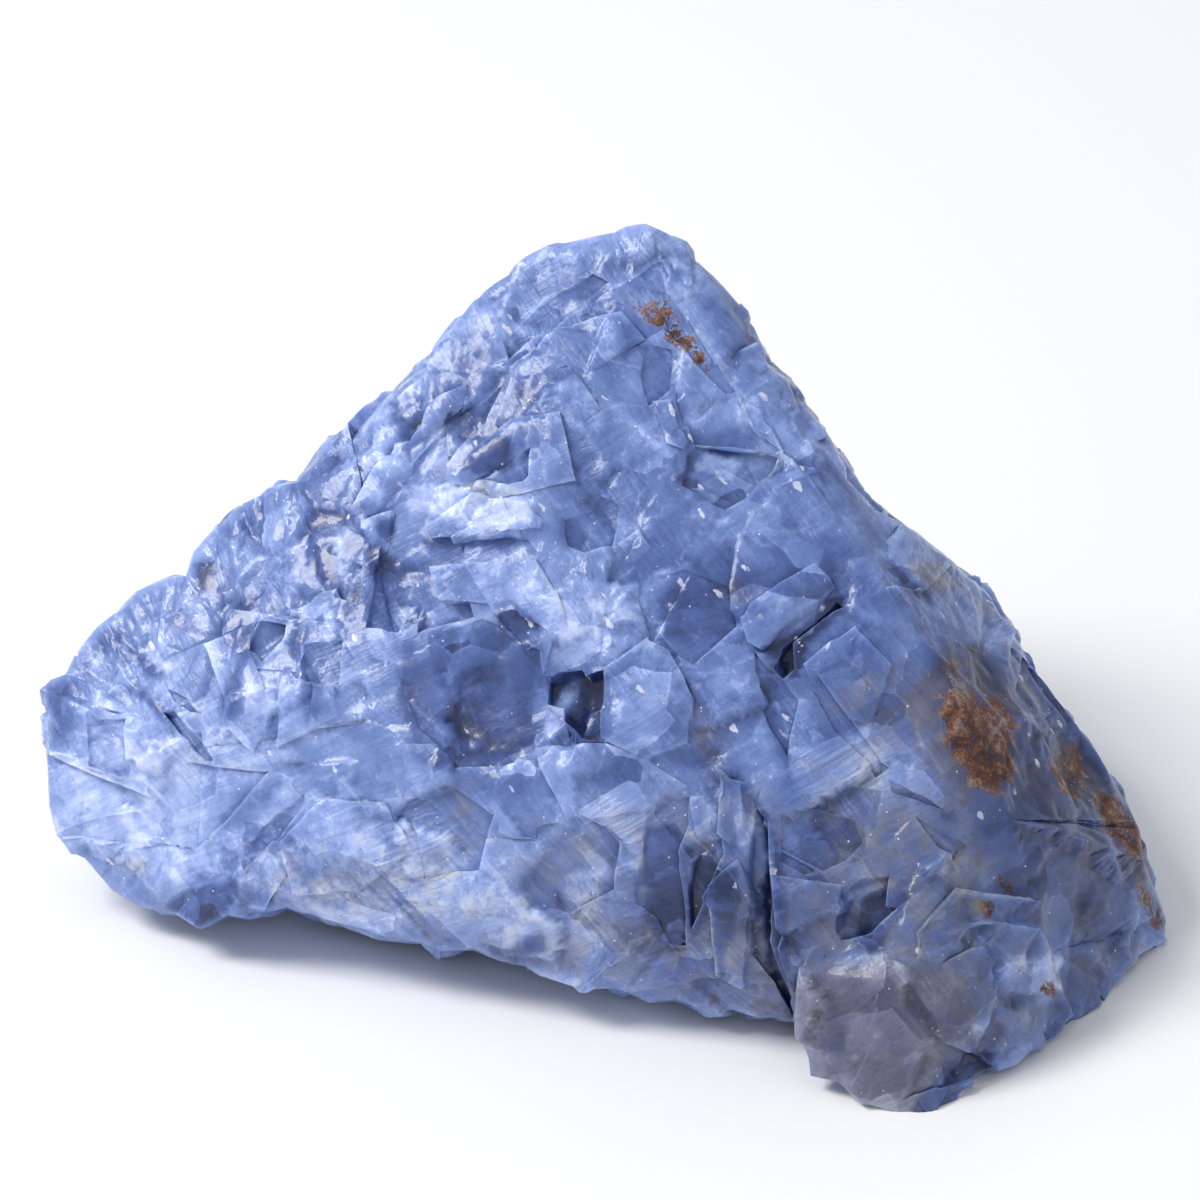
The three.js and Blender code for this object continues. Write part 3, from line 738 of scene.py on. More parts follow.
@dataclass
class Stone:
    """The stone's skin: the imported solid, broken finer, with its marks painted as attributes."""

    side: ShowingSide
    cleavage: Cleavage
    patches: dict[Mark, list[Patch]]
    splits: tuple[float, ...] = (8.0, 4.0, 2.4, 1.5, 1.0, 0.85)
    most_faces: int = 196000
    flat_angle: float = math.radians(2)
    smooth_angle: float = math.radians(19)
    same_place: float = 1e-6
    facing_rounds: int = 24
    facing_edge: float = 0.15
    level_rounds: int = 80
    outward_rounds: int = 12
    filling: float = 0.85
    hollow_kept: float = 0.8
    frost_over_deep: float = 0.9
    frost_start: float = 0.5
    frost_fade: float = 0.25
    hidden_fade: float = 0.3
    wander: CloudKind = (3.0, 61, 3)
    wander_reach: float = 0.7
    plates: Grains = field(default_factory=lambda: Grains(9.0, 11, rise=0.7, lean_degrees=6))
    flakes: Grains = field(default_factory=lambda: Grains(4.4, 17, rise=0.35, lean_degrees=7))
    lift_rounds: int = 6
    bends: tuple[CloudKind, ...] = ((9.0, 1, 2), (9.0, 2, 2), (9.0, 3, 2))
    bend_reach: float = 0.45
    roughness: CloudKind = (12.0, 51, 2)
    roughness_gain: float = 0.9
    roughness_start: float = 0.2
    ripple: CloudKind = (7.0, 53, 1)
    ripple_rise: float = 0.12
    worn_plates: float = 0.7
    worn_flakes: float = 0.8
    base_height: float = 0.25
    # How the painted highlight on ridges and the painted shade in creases are worked out.
    relief_rounds: int = 4
    wide_rounds: int = 60
    wide_relief_light_and_shade: float = 0.6
    narrow_rounds: int = 6
    narrow_relief_light_and_shade: float = 2.0
    most_relief_light_and_shade: float = 1.2

    def build(self) -> bpy.types.Object:
        """Makes the stone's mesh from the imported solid.

        Returns:
            The stone.
        """
        bpy.ops.object.select_all(action="DESELECT")
        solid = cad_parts["blue_calcite"]
        solid.select_set(True)
        bpy.context.view_layer.objects.active = solid
        bpy.ops.object.duplicate()
        stone = bpy.context.active_object
        stone.name = stone.data.name = "calcite_skin"
        for key in list(stone.keys()):
            if key.startswith("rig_"):
                del stone[key]
        stone.parent = None
        bpy.ops.object.mode_set(mode="EDIT")
        bpy.ops.mesh.select_all(action="SELECT")
        bpy.ops.mesh.remove_doubles(threshold=self.same_place)
        bpy.ops.object.mode_set(mode="OBJECT")
        self._divided(stone)
        self._break_finer(stone)
        bpy.ops.object.select_all(action="DESELECT")
        stone.select_set(True)
        bpy.context.view_layer.objects.active = stone
        bpy.ops.object.shade_smooth_by_angle(angle=self.smooth_angle)
        return stone

    def _divided(self, stone: bpy.types.Object) -> None:
        """Divides the faces, the longest edges first, and keeps their creases where they are.

        Args:
            stone: The stone.
        """
        skin = bmesh.new()
        skin.from_mesh(stone.data)
        for longest in self.splits:
            edges = [edge for edge in skin.edges if edge.calc_length() > longest * MM]
            if len(skin.faces) + 2 * len(edges) > self.most_faces:
                break
            bmesh.ops.subdivide_edges(skin, edges=edges, cuts=1)
            bmesh.ops.triangulate(skin, faces=skin.faces[:], quad_method="BEAUTY", ngon_method="BEAUTY")
            inner = [edge for edge in skin.edges if edge.is_manifold]
            flat = [edge for edge in inner if edge.calc_face_angle() < self.flat_angle]
            bmesh.ops.beautify_fill(skin, faces=skin.faces[:], edges=flat, method="ANGLE")
            LOG.info("divided to %s mm: %d faces", longest, len(skin.faces))
        skin.to_mesh(stone.data)
        skin.free()

    def _read(self, stone: bpy.types.Object) -> tuple[np.ndarray, np.ndarray, np.ndarray]:
        """Reads the mesh.

        Args:
            stone: The stone.

        Returns:
            Its corners in millimetres, their normals, and its edges.
        """
        mesh = stone.data
        points = np.empty(len(mesh.vertices) * 3)
        mesh.vertices.foreach_get("co", points)
        normals = np.empty(len(mesh.vertices) * 3)
        mesh.vertex_normals.foreach_get("vector", normals)
        edges = np.empty(len(mesh.edges) * 2, int)
        mesh.edges.foreach_get("vertices", edges)
        return points.reshape(-1, 3) / MM, normals.reshape(-1, 3), edges.reshape(-1, 2)

    @staticmethod
    def _smoothed(values: np.ndarray, edges: np.ndarray, rounds: int) -> np.ndarray:
        """Averages values with their neighbours' over and over.

        Args:
            values: One row for each corner of the mesh.
            edges: The mesh's edges.
            rounds: How many times to average.

        Returns:
            The smoothed values.
        """
        count = len(values)
        ends, others = edges.T
        joined = np.bincount(ends, minlength=count) + np.bincount(others, minlength=count)
        made = values.copy()
        for _ in range(rounds):
            total = np.stack([
                np.bincount(ends, made[others, axis], count) + np.bincount(others, made[ends, axis], count)
                for axis in range(made.shape[1])
            ], axis=1)
            made = (made + total / joined[:, None]) / 2
        return made

    def _break_finer(self, stone: bpy.types.Object) -> None:
        """Steps the skin along the cleavage and stores the marks.

        Args:
            stone: The stone, as an even mesh.
        """
        points, normals, edges = self._read(stone)
        across, up = self.side.places(points)
        toward = self._smoothed(normals, edges, self.facing_rounds) @ self.side.near
        facing = eased((toward + self.facing_edge) / (2 * self.facing_edge))
        marks = {mark: self._painted(mark, points, across, up, facing) for mark in Mark}
        frosted = eased((marks[Mark.FROST_AND_LIGHT] - self.frost_start) / self.frost_fade)
        marks[Mark.DEEP_AND_SHADE] *= 1 - self.frost_over_deep * frosted

        points = self._shallower(points, normals, edges, facing, marks[Mark.SHADED_HOLLOW])
        bend = np.stack([cloud(points, *kind) for kind in self.bends], axis=1) * self.bend_reach
        places = (points + bend) @ self.cleavage.directions(self.side).T
        plate_lift, tone = self.plates.tilted(places)
        flake_lift, _ = self.flakes.tilted(places)
        rough = eased(cloud(points, *self.roughness) * self.roughness_gain + self.roughness_start)
        rough *= (1 - self.worn_flakes * marks[Mark.WORN]) * (1 - self.worn_flakes * marks[Mark.DEEP_AND_SHADE])
        ripple = cloud(points, *self.ripple) * self.ripple_rise
        lift = plate_lift * (1 - self.worn_plates * marks[Mark.WORN]) + flake_lift * rough + ripple
        made = points + self._smoothed(normals, edges, self.lift_rounds) * lift[:, None]
        lowest, highest = (np.array(corner) / MM for corner in CAD_BOX)
        made = np.clip(made, lowest, highest)
        on_base = points[:, 2] < self.base_height
        made[on_base, 2] = 0.0

        # Painted light and shade: each corner that stands out of its smoothed skin is made lighter, a
        # painted highlight on ridges and plate edges, and each that lies below it darker, painted shade in
        # creases and broad hollows.
        outward = self._smoothed(normals, edges, self.relief_rounds)
        wide = np.einsum("ij,ij->i", made - self._smoothed(made, edges, self.wide_rounds), outward)
        narrow = np.einsum("ij,ij->i", made - self._smoothed(made, edges, self.narrow_rounds), outward)
        relief_light_and_shade = wide * self.wide_relief_light_and_shade + narrow * self.narrow_relief_light_and_shade
        stone.data.vertices.foreach_set("co", (made * MM).ravel())
        values = {mark.value: marks[mark] for mark in Mark}
        values["relief_light_and_shade"] = np.clip(relief_light_and_shade, -self.most_relief_light_and_shade, self.most_relief_light_and_shade)
        values["tone"] = tone
        for name, amounts in values.items():
            layer = stone.data.attributes.new(name, "FLOAT", "POINT")
            layer.data.foreach_set("value", amounts.astype(np.float32))
        stone.data.update()

    def _shallower(self, points: np.ndarray, normals: np.ndarray, edges: np.ndarray,
                   facing: np.ndarray, hollow: np.ndarray) -> np.ndarray:
        """Brings the floors of the terraces nearer to the skin around them, and leaves the outline.

        Args:
            points: The mesh's corners.
            normals: Their normals.
            edges: The mesh's edges.
            facing: How far each is on the showing side, from 0 to 1.
            hollow: How strongly each is marked as a hollow that keeps its depth.

        Returns:
            The moved corners.
        """
        outward = self._smoothed(normals, edges, self.outward_rounds)
        way = facing[:, None] * self.side.near + (1 - facing[:, None]) * outward
        way /= np.linalg.norm(way, axis=1)[:, None]
        share = self.filling * (1 - self.hollow_kept * hollow)
        level = self._smoothed(points, edges, self.level_rounds)
        gap = np.einsum("ij,ij->i", level - points, way)
        return points + way * (gap * share)[:, None]

    def _painted(self, mark: Mark, points: np.ndarray, across: np.ndarray, up: np.ndarray,
                 facing: np.ndarray) -> np.ndarray:
        """Works out how strongly each corner is marked.

        Args:
            mark: The mark.
            points: The mesh's corners.
            across: How far right each is seen.
            up: How far up each is seen.
            facing: How far each is on the showing side, from 0 to 1.

        Returns:
            The mark's strength at each corner, from 0 to 1.
        """
        wander = cloud(points, *self.wander) * self.wander_reach
        value = np.zeros(len(points))
        for spot in self.patches[mark]:
            depth = inside(across, up, spot.outline) + wander * min(1.0, spot.edge)
            value = np.maximum(value, spot.strength * eased(depth / (2 * spot.edge) + 0.5))
        hidden = self._hidden_marks(mark, points)
        return value * facing + hidden * (1 - facing)

    def _hidden_marks(self, mark: Mark, points: np.ndarray) -> np.ndarray:
        """Marks the sides that aren't seen, much as the showing side is.

        Args:
            mark: The mark.
            points: The mesh's corners.

        Returns:
            The mark's strength at each corner, from 0 to 1.
        """
        size, seed, start, strength = HIDDEN_MARKS[mark]
        return strength * eased((cloud(points, size, seed, octaves=3) - start) / self.hidden_fade)


# Corners of hollows that keep their depth and are deep blue and painted dark inside, painted shade along
# with the stone's blue, in pixels: x, y, x, y and so on.
PIT = (545, 678, 570, 670, 604, 672, 611, 735, 590, 744, 566, 722, 552, 712)
RIGHT_NOTCH = (752, 648, 785, 638, 825, 603, 842, 598, 838, 618, 806, 645, 800, 678, 788, 680, 780, 660)
COLUMN_GAP = (758, 805, 768, 815, 780, 850, 786, 900, 786, 940, 797, 1000, 785, 1012, 768, 960, 765, 900,
              772, 860)
SCALLOP = (855, 948, 858, 920, 868, 895, 885, 888, 908, 890, 910, 903, 892, 920, 884, 950, 870, 955)
UPPER_GROOVE = (130, 652, 150, 658, 172, 680, 160, 682, 135, 668)
LOWER_GROOVE = (132, 678, 150, 690, 178, 728, 172, 735, 145, 705, 130, 690)
CORNER_WINDOW = (668, 433, 700, 428, 765, 430, 755, 450, 720, 455, 690, 445, 692, 470, 672, 465)
COLUMN_SIDE = (690, 860, 715, 850, 725, 870, 700, 930, 682, 950, 685, 900)

# Deep blue patches. Those in the recesses named above are painted shade as well as deep blue, and the
# broad soft ones, with edges of 4 to 6 mm, over the right and the lower right are painted shade.
DEEP_AND_SHADE_PATCHES = patches(
    (0.32, 1.5, 380, 400, 450, 330, 490, 330, 490, 500, 440, 500, 400, 440),
    (0.35, 1, 300, 500, 370, 500, 370, 560, 310, 560),
    (0.25, 1, 270, 600, 370, 600, 370, 640, 270, 640),
    (0.32, 1.5, 360, 725, 450, 735, 440, 800, 370, 790),
    (0.35, 1, 465, 765, 530, 765, 530, 800, 470, 800),
    (0.3, 1, 395, 840, 445, 840, 445, 880, 395, 880),
    (0.95, 1.5, 960, 645, 1040, 665, 1120, 770, 1150, 850, 1070, 800, 1000, 730),
    (0.4, 2, 780, 960, 900, 950, 960, 1000, 980, 1060, 900, 1110, 860, 1100, 790, 1040),
    (0.85, 4, 940, 640, 1100, 760, 1140, 860, 1120, 960, 1000, 900, 960, 820),
    (0.25, 6, 640, 400, 800, 480, 880, 620, 900, 760, 780, 820, 700, 700, 660, 540),
    (0.36, 4, 620, 850, 760, 800, 900, 800, 1000, 820, 1100, 900, 1090, 1040, 900, 1110, 800, 1060, 780,
     1000, 640, 990),
    (0.6, 2, 1010, 690, 1060, 690, 1110, 770, 1060, 800, 1010, 780),
    (0.62, 0.8, 400, 640, 455, 622, 515, 625, 540, 640, 548, 680, 530, 705, 540, 745, 475, 765, 440, 772,
     410, 760, 400, 700),
    (0.8, 1.6, 455, 640, 500, 650, 525, 690, 490, 705, 455, 690),
    (0.7, 0.4, *PIT),
    (0.85, 0.4, 488, 606, 510, 603, 540, 622, 543, 632, 520, 636, 495, 622),
    (0.9, 0.4, 373, 523, 393, 520, 396, 536, 380, 541),
    (0.8, 0.6, 365, 545, 395, 548, 392, 570, 370, 578, 360, 565),
    (0.7, 0.5, 312, 545, 335, 538, 338, 580, 325, 585, 312, 570),
    (0.45, 1.5, 345, 585, 400, 545, 405, 600, 375, 620, 345, 640, 335, 610),
    (0.6, 0.6, 218, 600, 255, 598, 252, 640, 238, 660, 220, 640),
    (0.6, 0.5, 238, 640, 255, 640, 245, 690, 235, 726, 222, 728, 214, 700, 225, 680),
    (0.65, 0.5, 280, 620, 300, 612, 298, 662, 282, 660),
    (0.85, 0.4, 195, 565, 215, 560, 214, 588, 198, 590),
    (0.45, 0.8, 205, 545, 240, 505, 300, 482, 308, 495, 255, 530, 220, 555),
    (0.45, 0.5, 95, 640, 118, 635, 118, 652, 98, 650),
    (0.45, 0.8, 42, 685, 75, 680, 80, 740, 48, 745),
    (0.55, 0.4, 165, 610, 185, 612, 182, 635, 170, 625),
    (0.75, 0.4, *UPPER_GROOVE),
    (0.75, 0.4, *LOWER_GROOVE),
    (0.55, 0.8, 215, 815, 240, 790, 285, 780, 275, 800, 240, 820, 218, 835),
    (0.55, 0.6, 255, 845, 285, 830, 298, 840, 270, 855),
    (0.5, 0.5, 355, 800, 395, 803, 400, 820, 375, 825, 352, 812),
    (0.95, 0.5, 165, 905, 200, 890, 232, 875, 235, 890, 232, 905, 200, 925, 180, 912),
    (0.5, 0.6, 232, 880, 270, 898, 240, 915),
    (0.95, 0.4, 530, 935, 545, 930, 548, 948, 520, 955, 510, 950),
    (0.65, 0.4, 552, 885, 570, 905, 562, 920, 553, 905),
    (0.65, 0.4, 425, 533, 510, 535, 520, 545, 500, 552, 430, 552, 420, 545),
    (0.35, 1.5, 400, 560, 480, 560, 470, 600, 430, 615, 405, 600),
    (0.45, 0.4, 300, 675, 325, 670, 318, 715, 305, 725),
    (0.45, 0.4, 262, 715, 280, 710, 280, 735, 265, 740),
    (0.2, 2, 350, 760, 400, 750, 440, 780, 520, 770, 530, 800, 500, 835, 440, 840, 410, 800),
    (0.8, 0.4, 455, 470, 475, 443, 512, 436, 514, 470, 485, 475),
    (0.4, 1.2, 400, 390, 440, 375, 478, 385, 480, 410, 430, 440, 400, 420),
    (0.35, 0.7, 555, 500, 575, 485, 600, 490, 615, 510, 610, 535, 575, 550, 552, 540),
    (0.5, 0.6, 552, 500, 566, 505, 592, 542, 570, 550, 554, 542),
    (0.55, 0.6, 620, 320, 645, 325, 650, 350, 625, 360),
    (0.45, 1, 605, 250, 640, 255, 640, 275, 615, 280, 600, 265),
    (0.35, 0.8, 565, 270, 600, 275, 610, 295, 570, 298),
    (0.3, 0.4, *CORNER_WINDOW),
    (0.6, 0.3, 680, 470, 730, 495, 722, 500, 672, 480),
    (0.35, 1.5, 520, 430, 600, 430, 640, 470, 620, 490, 570, 475, 530, 460),
    (0.6, 1.5, 650, 600, 680, 560, 730, 545, 765, 570, 765, 610, 730, 640, 690, 650, 660, 640),
    (0.8, 1.2, 690, 580, 745, 570, 750, 605, 700, 620),
    (0.3, 1.5, 700, 520, 800, 510, 830, 540, 790, 560, 740, 545),
    (0.95, 0.4, *RIGHT_NOTCH),
    (0.65, 0.5, 765, 690, 785, 720, 795, 760, 785, 775, 770, 740, 760, 705),
    (0.4, 1, 840, 640, 880, 635, 890, 680, 860, 690),
    (0.5, 0.5, 665, 250, 690, 280, 672, 285, 660, 262),
    (0.45, 1, 700, 290, 745, 330, 765, 370, 750, 390, 720, 350),
    (0.5, 0.4, 795, 445, 830, 475, 825, 485, 790, 460),
    (0.4, 0.5, 820, 550, 845, 570, 838, 597, 822, 582),
    (0.7, 0.4, 890, 565, 930, 590, 935, 605, 905, 592),
    (0.85, 0.6, 645, 830, 670, 825, 695, 850, 690, 870, 685, 940, 670, 960, 645, 920, 640, 880),
    (1, 0.4, *COLUMN_SIDE),
    (0.85, 0.4, 715, 880, 735, 860, 740, 900, 727, 950, 722, 990, 712, 950),
    (0.95, 0.4, *COLUMN_GAP),
    (0.45, 0.6, 770, 760, 795, 755, 795, 790, 775, 795),
    (0.55, 0.5, 795, 820, 850, 818, 868, 840, 865, 860, 830, 870, 800, 865),
    (0.7, 0.4, 840, 818, 866, 838, 862, 852, 840, 836),
    (0.6, 0.3, 795, 865, 826, 879, 821, 886, 794, 873),
    (0.95, 0.4, *SCALLOP),
    (0.65, 0.4, 895, 788, 930, 800, 962, 818, 955, 828, 920, 812, 895, 800),
    (0.8, 1.5, 1000, 770, 1060, 760, 1100, 800, 1120, 840, 1080, 850, 1020, 830, 985, 830, 980, 810),
    (0.8, 0.5, 1030, 735, 1055, 740, 1060, 760, 1040, 757),
    (0.7, 0.6, 1060, 960, 1090, 950, 1115, 985, 1085, 1035, 1050, 1050, 1045, 1030),
    (1, 0.4, 915, 1105, 940, 1070, 965, 1054, 996, 1054, 1000, 1080, 960, 1130, 920, 1130),
    (0.6, 0.5, 985, 1060, 1015, 1040, 1010, 1060, 990, 1070),
    (0.55, 0.5, 975, 960, 1010, 935, 1000, 960, 975, 985),
    (0.45, 1.5, 860, 1040, 900, 1040, 920, 1070, 880, 1090, 850, 1080),
)

# Hollows that keep their depth; their darkening is painted shade.
SHADED_HOLLOW_PATCHES = patches(
    (0.5, 0.5, *PIT),
    (0.9, 0.5, *RIGHT_NOTCH),
    (1, 0.5, *COLUMN_GAP),
    (0.8, 0.5, *SCALLOP),
    (0.6, 0.4, *UPPER_GROOVE),
    (0.6, 0.4, *LOWER_GROOVE),
    (0.6, 0.4, *CORNER_WINDOW),
    (0.5, 0.5, *COLUMN_SIDE),
    (0.6, 0.4, 1056, 752, 1080, 745, 1085, 780, 1068, 792, 1056, 775),
)

# White frost patches. The first three, broad and soft over the top and the left lobes, are painted light,
# lighter where the light falls.
FROST_AND_LIGHT_PATCHES = patches(
    (0.3, 4, 540, 250, 690, 235, 790, 400, 850, 530, 760, 600, 640, 480, 560, 380),
    (0.35, 4, 60, 700, 150, 620, 300, 700, 420, 820, 540, 830, 560, 930, 420, 930, 200, 890, 80, 820),
    (0.7, 2.5, 45, 750, 90, 690, 150, 690, 210, 760, 210, 860, 160, 880, 100, 860, 60, 820),
    (0.5, 1, 90, 660, 120, 650, 135, 690, 80, 700),
    (0.85, 0.8, 150, 850, 205, 845, 215, 870, 180, 885, 150, 870),
    (0.85, 0.4, 140, 648, 160, 653, 176, 672, 166, 676, 150, 664),
    (0.6, 0.4, 163, 693, 178, 700, 177, 714, 166, 706),
    (0.6, 1, 250, 660, 280, 665, 300, 690, 280, 700, 260, 740, 240, 740, 245, 700),
    (0.55, 1, 200, 740, 300, 735, 300, 760, 220, 770),
    (0.7, 0.4, 322, 598, 335, 620, 330, 645, 320, 640),
    (0.6, 0.4, 330, 520, 345, 530, 350, 585, 342, 588, 335, 560),
    (0.6, 0.6, 370, 480, 395, 490, 380, 510, 365, 500),
    (0.85, 0.6, 395, 490, 430, 480, 530, 490, 530, 520, 480, 525, 410, 515),
    (0.5, 1.5, 345, 455, 395, 440, 455, 450, 450, 470, 400, 475),
    (0.58, 1.2, 545, 585, 600, 590, 640, 610, 665, 625, 650, 650, 610, 660, 580, 675, 555, 660, 540, 630),
    (0.6, 0.3, 480, 560, 505, 568, 500, 578, 480, 572),
    (0.45, 1, 505, 580, 545, 575, 555, 600, 520, 600),
    (0.85, 0.4, 566, 682, 584, 676, 580, 700, 560, 722, 547, 745, 540, 737, 555, 700),
    (0.6, 0.8, 545, 640, 575, 640, 600, 665, 560, 672, 546, 668),
    (0.55, 1, 625, 655, 665, 640, 690, 665, 690, 680, 640, 672),
    (0.35, 2, 540, 740, 600, 750, 610, 800, 600, 890, 560, 900, 540, 820),
    (0.55, 3, 190, 840, 320, 820, 540, 880, 540, 930, 300, 925, 200, 890),
    (0.3, 4, 840, 860, 1040, 880, 1060, 1000, 960, 1000, 860, 940),
    (0.2, 0.8, 612, 670, 640, 650, 690, 680, 700, 720, 690, 740, 650, 745, 615, 740),
    (0.5, 0.5, 640, 735, 670, 725, 690, 745, 660, 760),
    (0.75, 0.3, 642, 645, 660, 620, 666, 628, 650, 652),
    (0.5, 0.8, 710, 670, 740, 660, 760, 690, 745, 700, 720, 690),
    (0.3, 1, 730, 700, 760, 720, 790, 770, 770, 790, 740, 760),
    (0.75, 0.5, 733, 800, 745, 788, 756, 830, 745, 852, 734, 845),
    (0.5, 0.5, 704, 800, 718, 800, 718, 842, 707, 840),
    (0.7, 0.5, 580, 850, 605, 855, 612, 875, 595, 880),
    (0.45, 1, 540, 380, 600, 380, 610, 440, 560, 450),
    (0.55, 1, 555, 870, 600, 870, 605, 915, 560, 920),
    (0.5, 1, 575, 910, 610, 905, 620, 940, 590, 960),
    (0.7, 0.6, 320, 820, 350, 825, 400, 850, 380, 865, 340, 845),
    (0.5, 1.2, 460, 850, 530, 840, 520, 890, 480, 920, 450, 890),
    (0.5, 0.6, 500, 920, 540, 910, 530, 930, 505, 950),
    (0.6, 0.6, 300, 900, 350, 910, 390, 930, 380, 938, 320, 925),
    (0.45, 1.5, 500, 290, 560, 280, 590, 300, 600, 350, 560, 330, 500, 350, 470, 330),
    (0.5, 0.4, 600, 320, 618, 320, 618, 358, 600, 358),
    (0.5, 0.5, 660, 350, 690, 345, 700, 365, 670, 365),
    (0.4, 1, 580, 395, 610, 400, 600, 420, 575, 415),
    (0.4, 1.2, 720, 370, 760, 400, 780, 440, 750, 430, 715, 400),
    (0.65, 0.3, 698, 448, 738, 462, 732, 482, 695, 468),
    (0.55, 0.3, 705, 480, 725, 495, 715, 500, 690, 490),
    (0.45, 0.6, 615, 520, 640, 510, 650, 530, 620, 550, 605, 545),
    (0.5, 0.8, 330, 445, 400, 375, 470, 320, 480, 330, 410, 400, 345, 465),
    (0.4, 0.5, 765, 610, 810, 565, 828, 577, 775, 632),
    (0.35, 1, 900, 620, 940, 640, 920, 680, 890, 660),
    (0.3, 1, 850, 740, 900, 760, 900, 790, 850, 790),
    (0.4, 0.5, 850, 865, 890, 860, 890, 880, 850, 885),
    (0.85, 1, 1000, 970, 1060, 950, 1070, 990, 1010, 1000),
    (0.55, 0.4, 970, 1020, 990, 1030, 975, 1042),
    (0.55, 0.3, 960, 930, 980, 925, 975, 950),
    (0.55, 0.3, 893, 973, 906, 979, 900, 992),
)

RUST_PATCHES = patches(
    (0.72, 0.6, 632, 303, 650, 305, 661, 296, 672, 310, 680, 330, 700, 355, 707, 368, 695, 362, 675, 345,
     655, 330, 640, 318),
    (1, 0.9, 940, 700, 965, 685, 985, 700, 1008, 703, 1014, 730, 1010, 780, 1000, 797, 975, 790, 955, 757,
     945, 735),
    (0.95, 0.6, 1046, 762, 1075, 740, 1090, 762, 1078, 798, 1058, 790),
    (0.9, 0.7, 1090, 780, 1120, 795, 1150, 845, 1140, 860, 1108, 830),
    (0.7, 0.6, 1140, 875, 1170, 920, 1160, 935, 1138, 905),
    (1, 0.4, 979, 902, 996, 899, 999, 916, 984, 920),
    (0.65, 0.4, 994, 869, 1006, 874, 1019, 892, 1008, 897),
    (1, 0.3, 1043, 987, 1056, 984, 1057, 996, 1045, 997),
    (0.5, 0.5, 948, 660, 966, 662, 966, 682, 950, 678),
)

# Tan patches. The broad soft ones, with edges of 3 or 4 mm, over the lower part and the lower right are
# painted shade that greys the stone there; the smaller ones are its tan stain.
TAN_AND_SHADE_PATCHES = patches(
    (0.38, 3, 820, 700, 900, 640, 960, 650, 1000, 860, 900, 880, 840, 820),
    (0.55, 4, 560, 900, 720, 900, 850, 860, 960, 900, 1050, 1050, 900, 1110, 800, 1060, 780, 1010, 560,
     960),
    (0.8, 2, 900, 690, 950, 650, 1010, 690, 1030, 740, 1010, 800, 960, 800, 920, 760, 900, 720),
    (0.35, 1.5, 830, 690, 900, 720, 920, 780, 880, 770),
    (0.36, 3, 240, 860, 560, 820, 780, 780, 1100, 800, 1160, 960, 1080, 1040, 900, 1110, 640, 1000, 400,
     940, 240, 900),
    (0.55, 3, 800, 760, 960, 780, 1000, 860, 980, 1000, 1000, 1060, 900, 1110, 740, 1000, 780, 900, 820,
     840),
    (0.95, 2, 780, 975, 860, 950, 960, 970, 985, 1010, 950, 1050, 920, 1130, 860, 1130, 800, 1100, 780,
     1040),
    (0.8, 0.8, 700, 995, 780, 1000, 785, 1015, 720, 1012),
    (0.6, 0.8, 745, 950, 765, 955, 770, 985, 750, 990),
    (0.5, 3, 250, 880, 400, 860, 540, 880, 400, 920, 320, 900),
    (0.4, 1, 440, 790, 480, 780, 470, 830, 440, 830),
    (0.45, 0.4, 462, 770, 490, 776, 480, 786, 462, 780),
    (0.3, 1, 430, 400, 470, 420, 450, 440, 420, 440),
    (0.4, 1, 690, 690, 730, 740, 720, 790, 700, 770),
    (0.8, 0.8, 905, 565, 940, 560, 960, 590, 930, 600),
    (0.6, 0.5, 960, 590, 1000, 612, 990, 622),
    (0.85, 1, 1060, 740, 1110, 770, 1150, 850, 1168, 930, 1145, 910, 1110, 850, 1080, 800, 1055, 770),
    (0.7, 0.4, 1050, 860, 1075, 865, 1068, 882, 1050, 875),
    (0.45, 0.8, 895, 830, 940, 840, 940, 870, 905, 870),
    (0.35, 0.8, 120, 855, 150, 855, 150, 880, 125, 875),
)

WORN_PATCHES = patches(
    (0.9, 3, 700, 240, 800, 380, 900, 560, 1010, 620, 1180, 900, 1160, 960, 1060, 900, 980, 800, 900, 640,
     780, 430),
)

SHOWING_PATCHES = {
    Mark.DEEP_AND_SHADE: DEEP_AND_SHADE_PATCHES,
    Mark.SHADED_HOLLOW: SHADED_HOLLOW_PATCHES,
    Mark.FROST_AND_LIGHT: FROST_AND_LIGHT_PATCHES,
    Mark.RUST: RUST_PATCHES,
    Mark.TAN: TAN_AND_SHADE_PATCHES,
    Mark.WORN: WORN_PATCHES,
}


@dataclass(frozen=True)
class Lamp:
    """A square light: where it stands and how long its side is, in metres, its watts and its colour."""

    name: str
    place: Place
    size: float
    power: float
    colour: Colour


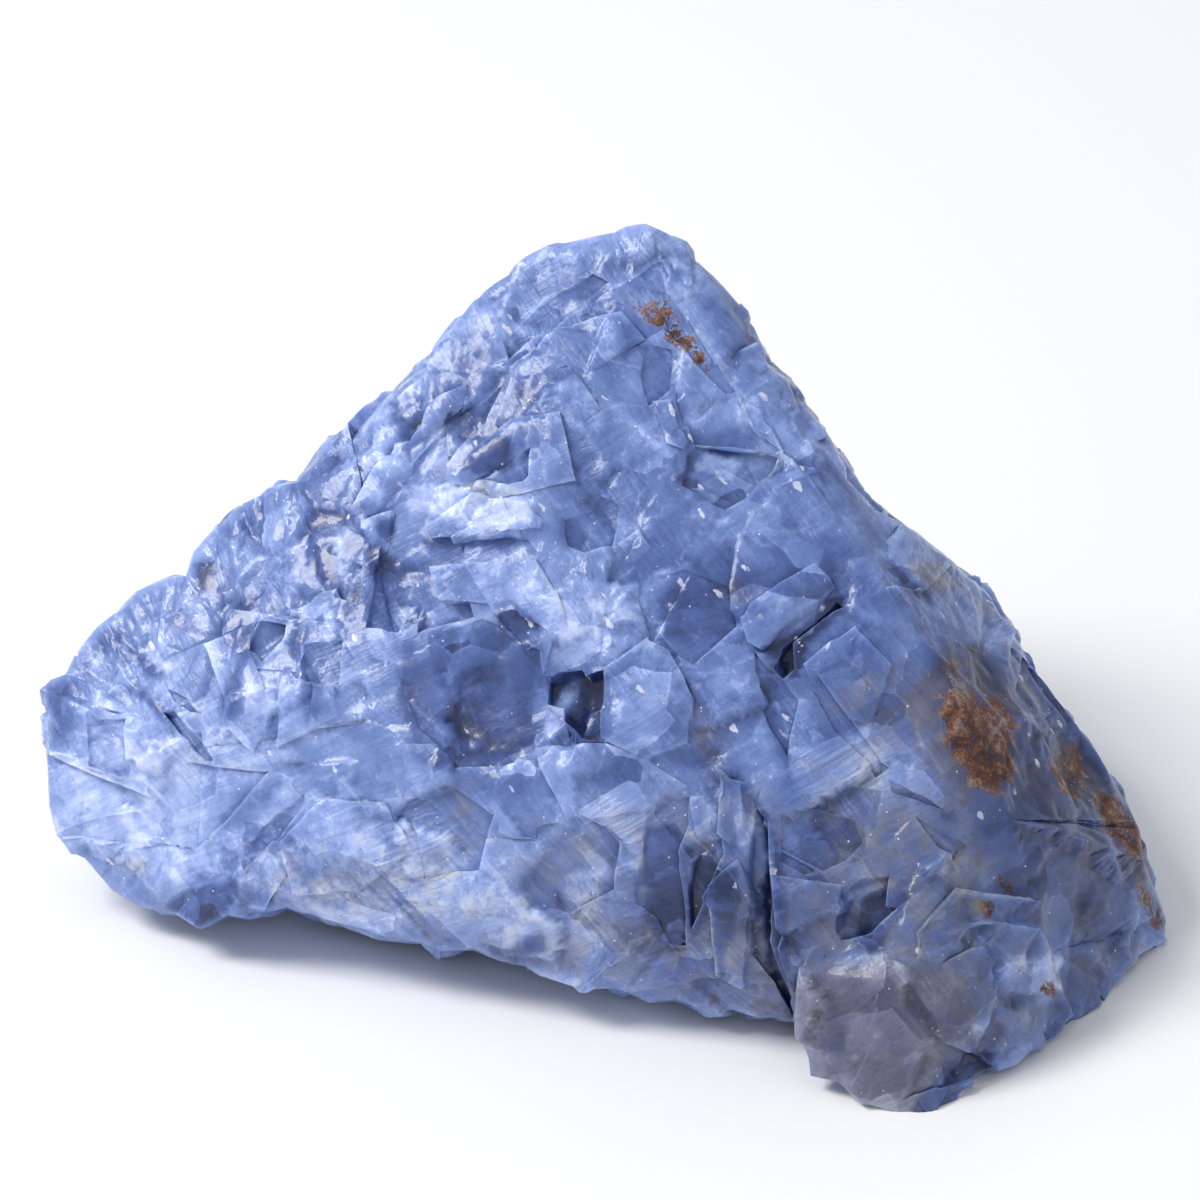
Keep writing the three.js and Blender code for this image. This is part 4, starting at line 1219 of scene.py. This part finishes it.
@dataclass
class Studio:
    """The pale floor, the soft lights and the camera."""

    side: ShowingSide
    frame_width: float = 120.0
    sensor: float = 36.0
    floor_size: float = 6.0
    aim: Place = (0, 0, 0.03)
    air_colour: Colour = (0.93, 0.96, 1.0)
    air_strength: float = 0.55
    lamps: tuple[Lamp, ...] = (
        Lamp("key", (-0.50, -0.08, 0.64), 0.30, 5.6, (1.0, 0.985, 0.96)),
        Lamp("fill", (0.55, -0.55, 0.35), 0.5, 0.5, (0.9, 0.94, 1.0)),
        Lamp("rim", (0.15, 0.6, 0.5), 0.3, 0.6, (0.95, 0.97, 1.0)),
    )

    def build(self) -> None:
        """Sets the floor, the lights and the camera up."""
        self._floor()
        for lamp in self.lamps:
            self._light(lamp)
        world = bpy.data.worlds.new("studio_air")
        world.use_nodes = True
        air = world.node_tree.nodes["Background"]
        air.inputs["Color"].default_value = (*self.air_colour, 1)
        air.inputs["Strength"].default_value = self.air_strength
        bpy.context.scene.world = world
        bpy.context.scene.view_settings.view_transform = "Standard"
        self._camera()

    def _floor(self) -> None:
        """Lays a plain pale floor."""
        bpy.ops.object.select_all(action="DESELECT")
        bpy.ops.mesh.primitive_plane_add(size=self.floor_size, location=(0, 0, 0))
        floor = bpy.context.active_object
        floor.name = "floor"
        material = bpy.data.materials.new("pale_floor")
        board = NodeBoard(material)
        paint = board.add("BsdfPrincipled", Base_Color=(0.86, 0.86, 0.87, 1), Roughness=0.8)
        output = board.add("OutputMaterial")
        board.join(output.inputs["Surface"], paint.outputs[0])
        floor.data.materials.append(material)

    def _light(self, lamp: Lamp) -> None:
        """Adds a light that looks at the stone.

        Args:
            lamp: What the light is like.
        """
        light = bpy.data.lights.new(lamp.name, "AREA")
        light.size = lamp.size
        light.energy = lamp.power
        light.color = lamp.colour
        holder = bpy.data.objects.new(lamp.name, light)
        holder.location = lamp.place
        way = Vector(self.aim) - Vector(lamp.place)
        holder.rotation_euler = way.to_track_quat("-Z", "Y").to_euler()
        bpy.context.scene.collection.objects.link(holder)

    def _camera(self) -> None:
        """Puts the camera where the showing side is seen as photographed."""
        lens = bpy.data.cameras.new("camera")
        lens.sensor_width = self.sensor
        lens.lens = self.sensor * self.side.distance / self.frame_width
        lens.clip_start = 0.01
        camera = bpy.data.objects.new("camera", lens)
        back = Vector(self.side.near)
        camera.location = (Vector(self.side.middle) + back * self.side.distance) * MM
        camera.rotation_euler = (-back).to_track_quat("-Z", "Y").to_euler()
        bpy.context.scene.collection.objects.link(camera)
        bpy.context.scene.camera = camera


def main() -> None:
    """Builds the stone and the studio, and logs how many faces the stone has."""
    logging.basicConfig(level=logging.INFO, format="%(message)s")
    side = ShowingSide()
    cleavage = Cleavage()
    stone = Stone(side, cleavage, SHOWING_PATCHES).build()
    stone.data.materials.clear()
    stone.data.materials.append(CalciteFinish(side, cleavage).material())
    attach(stone, "root")
    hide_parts("blue_calcite")
    LOG.info("%s: %d faces", stone.name, len(stone.data.polygons))
    Studio(side).build()


if __name__ == "__main__":
    main()
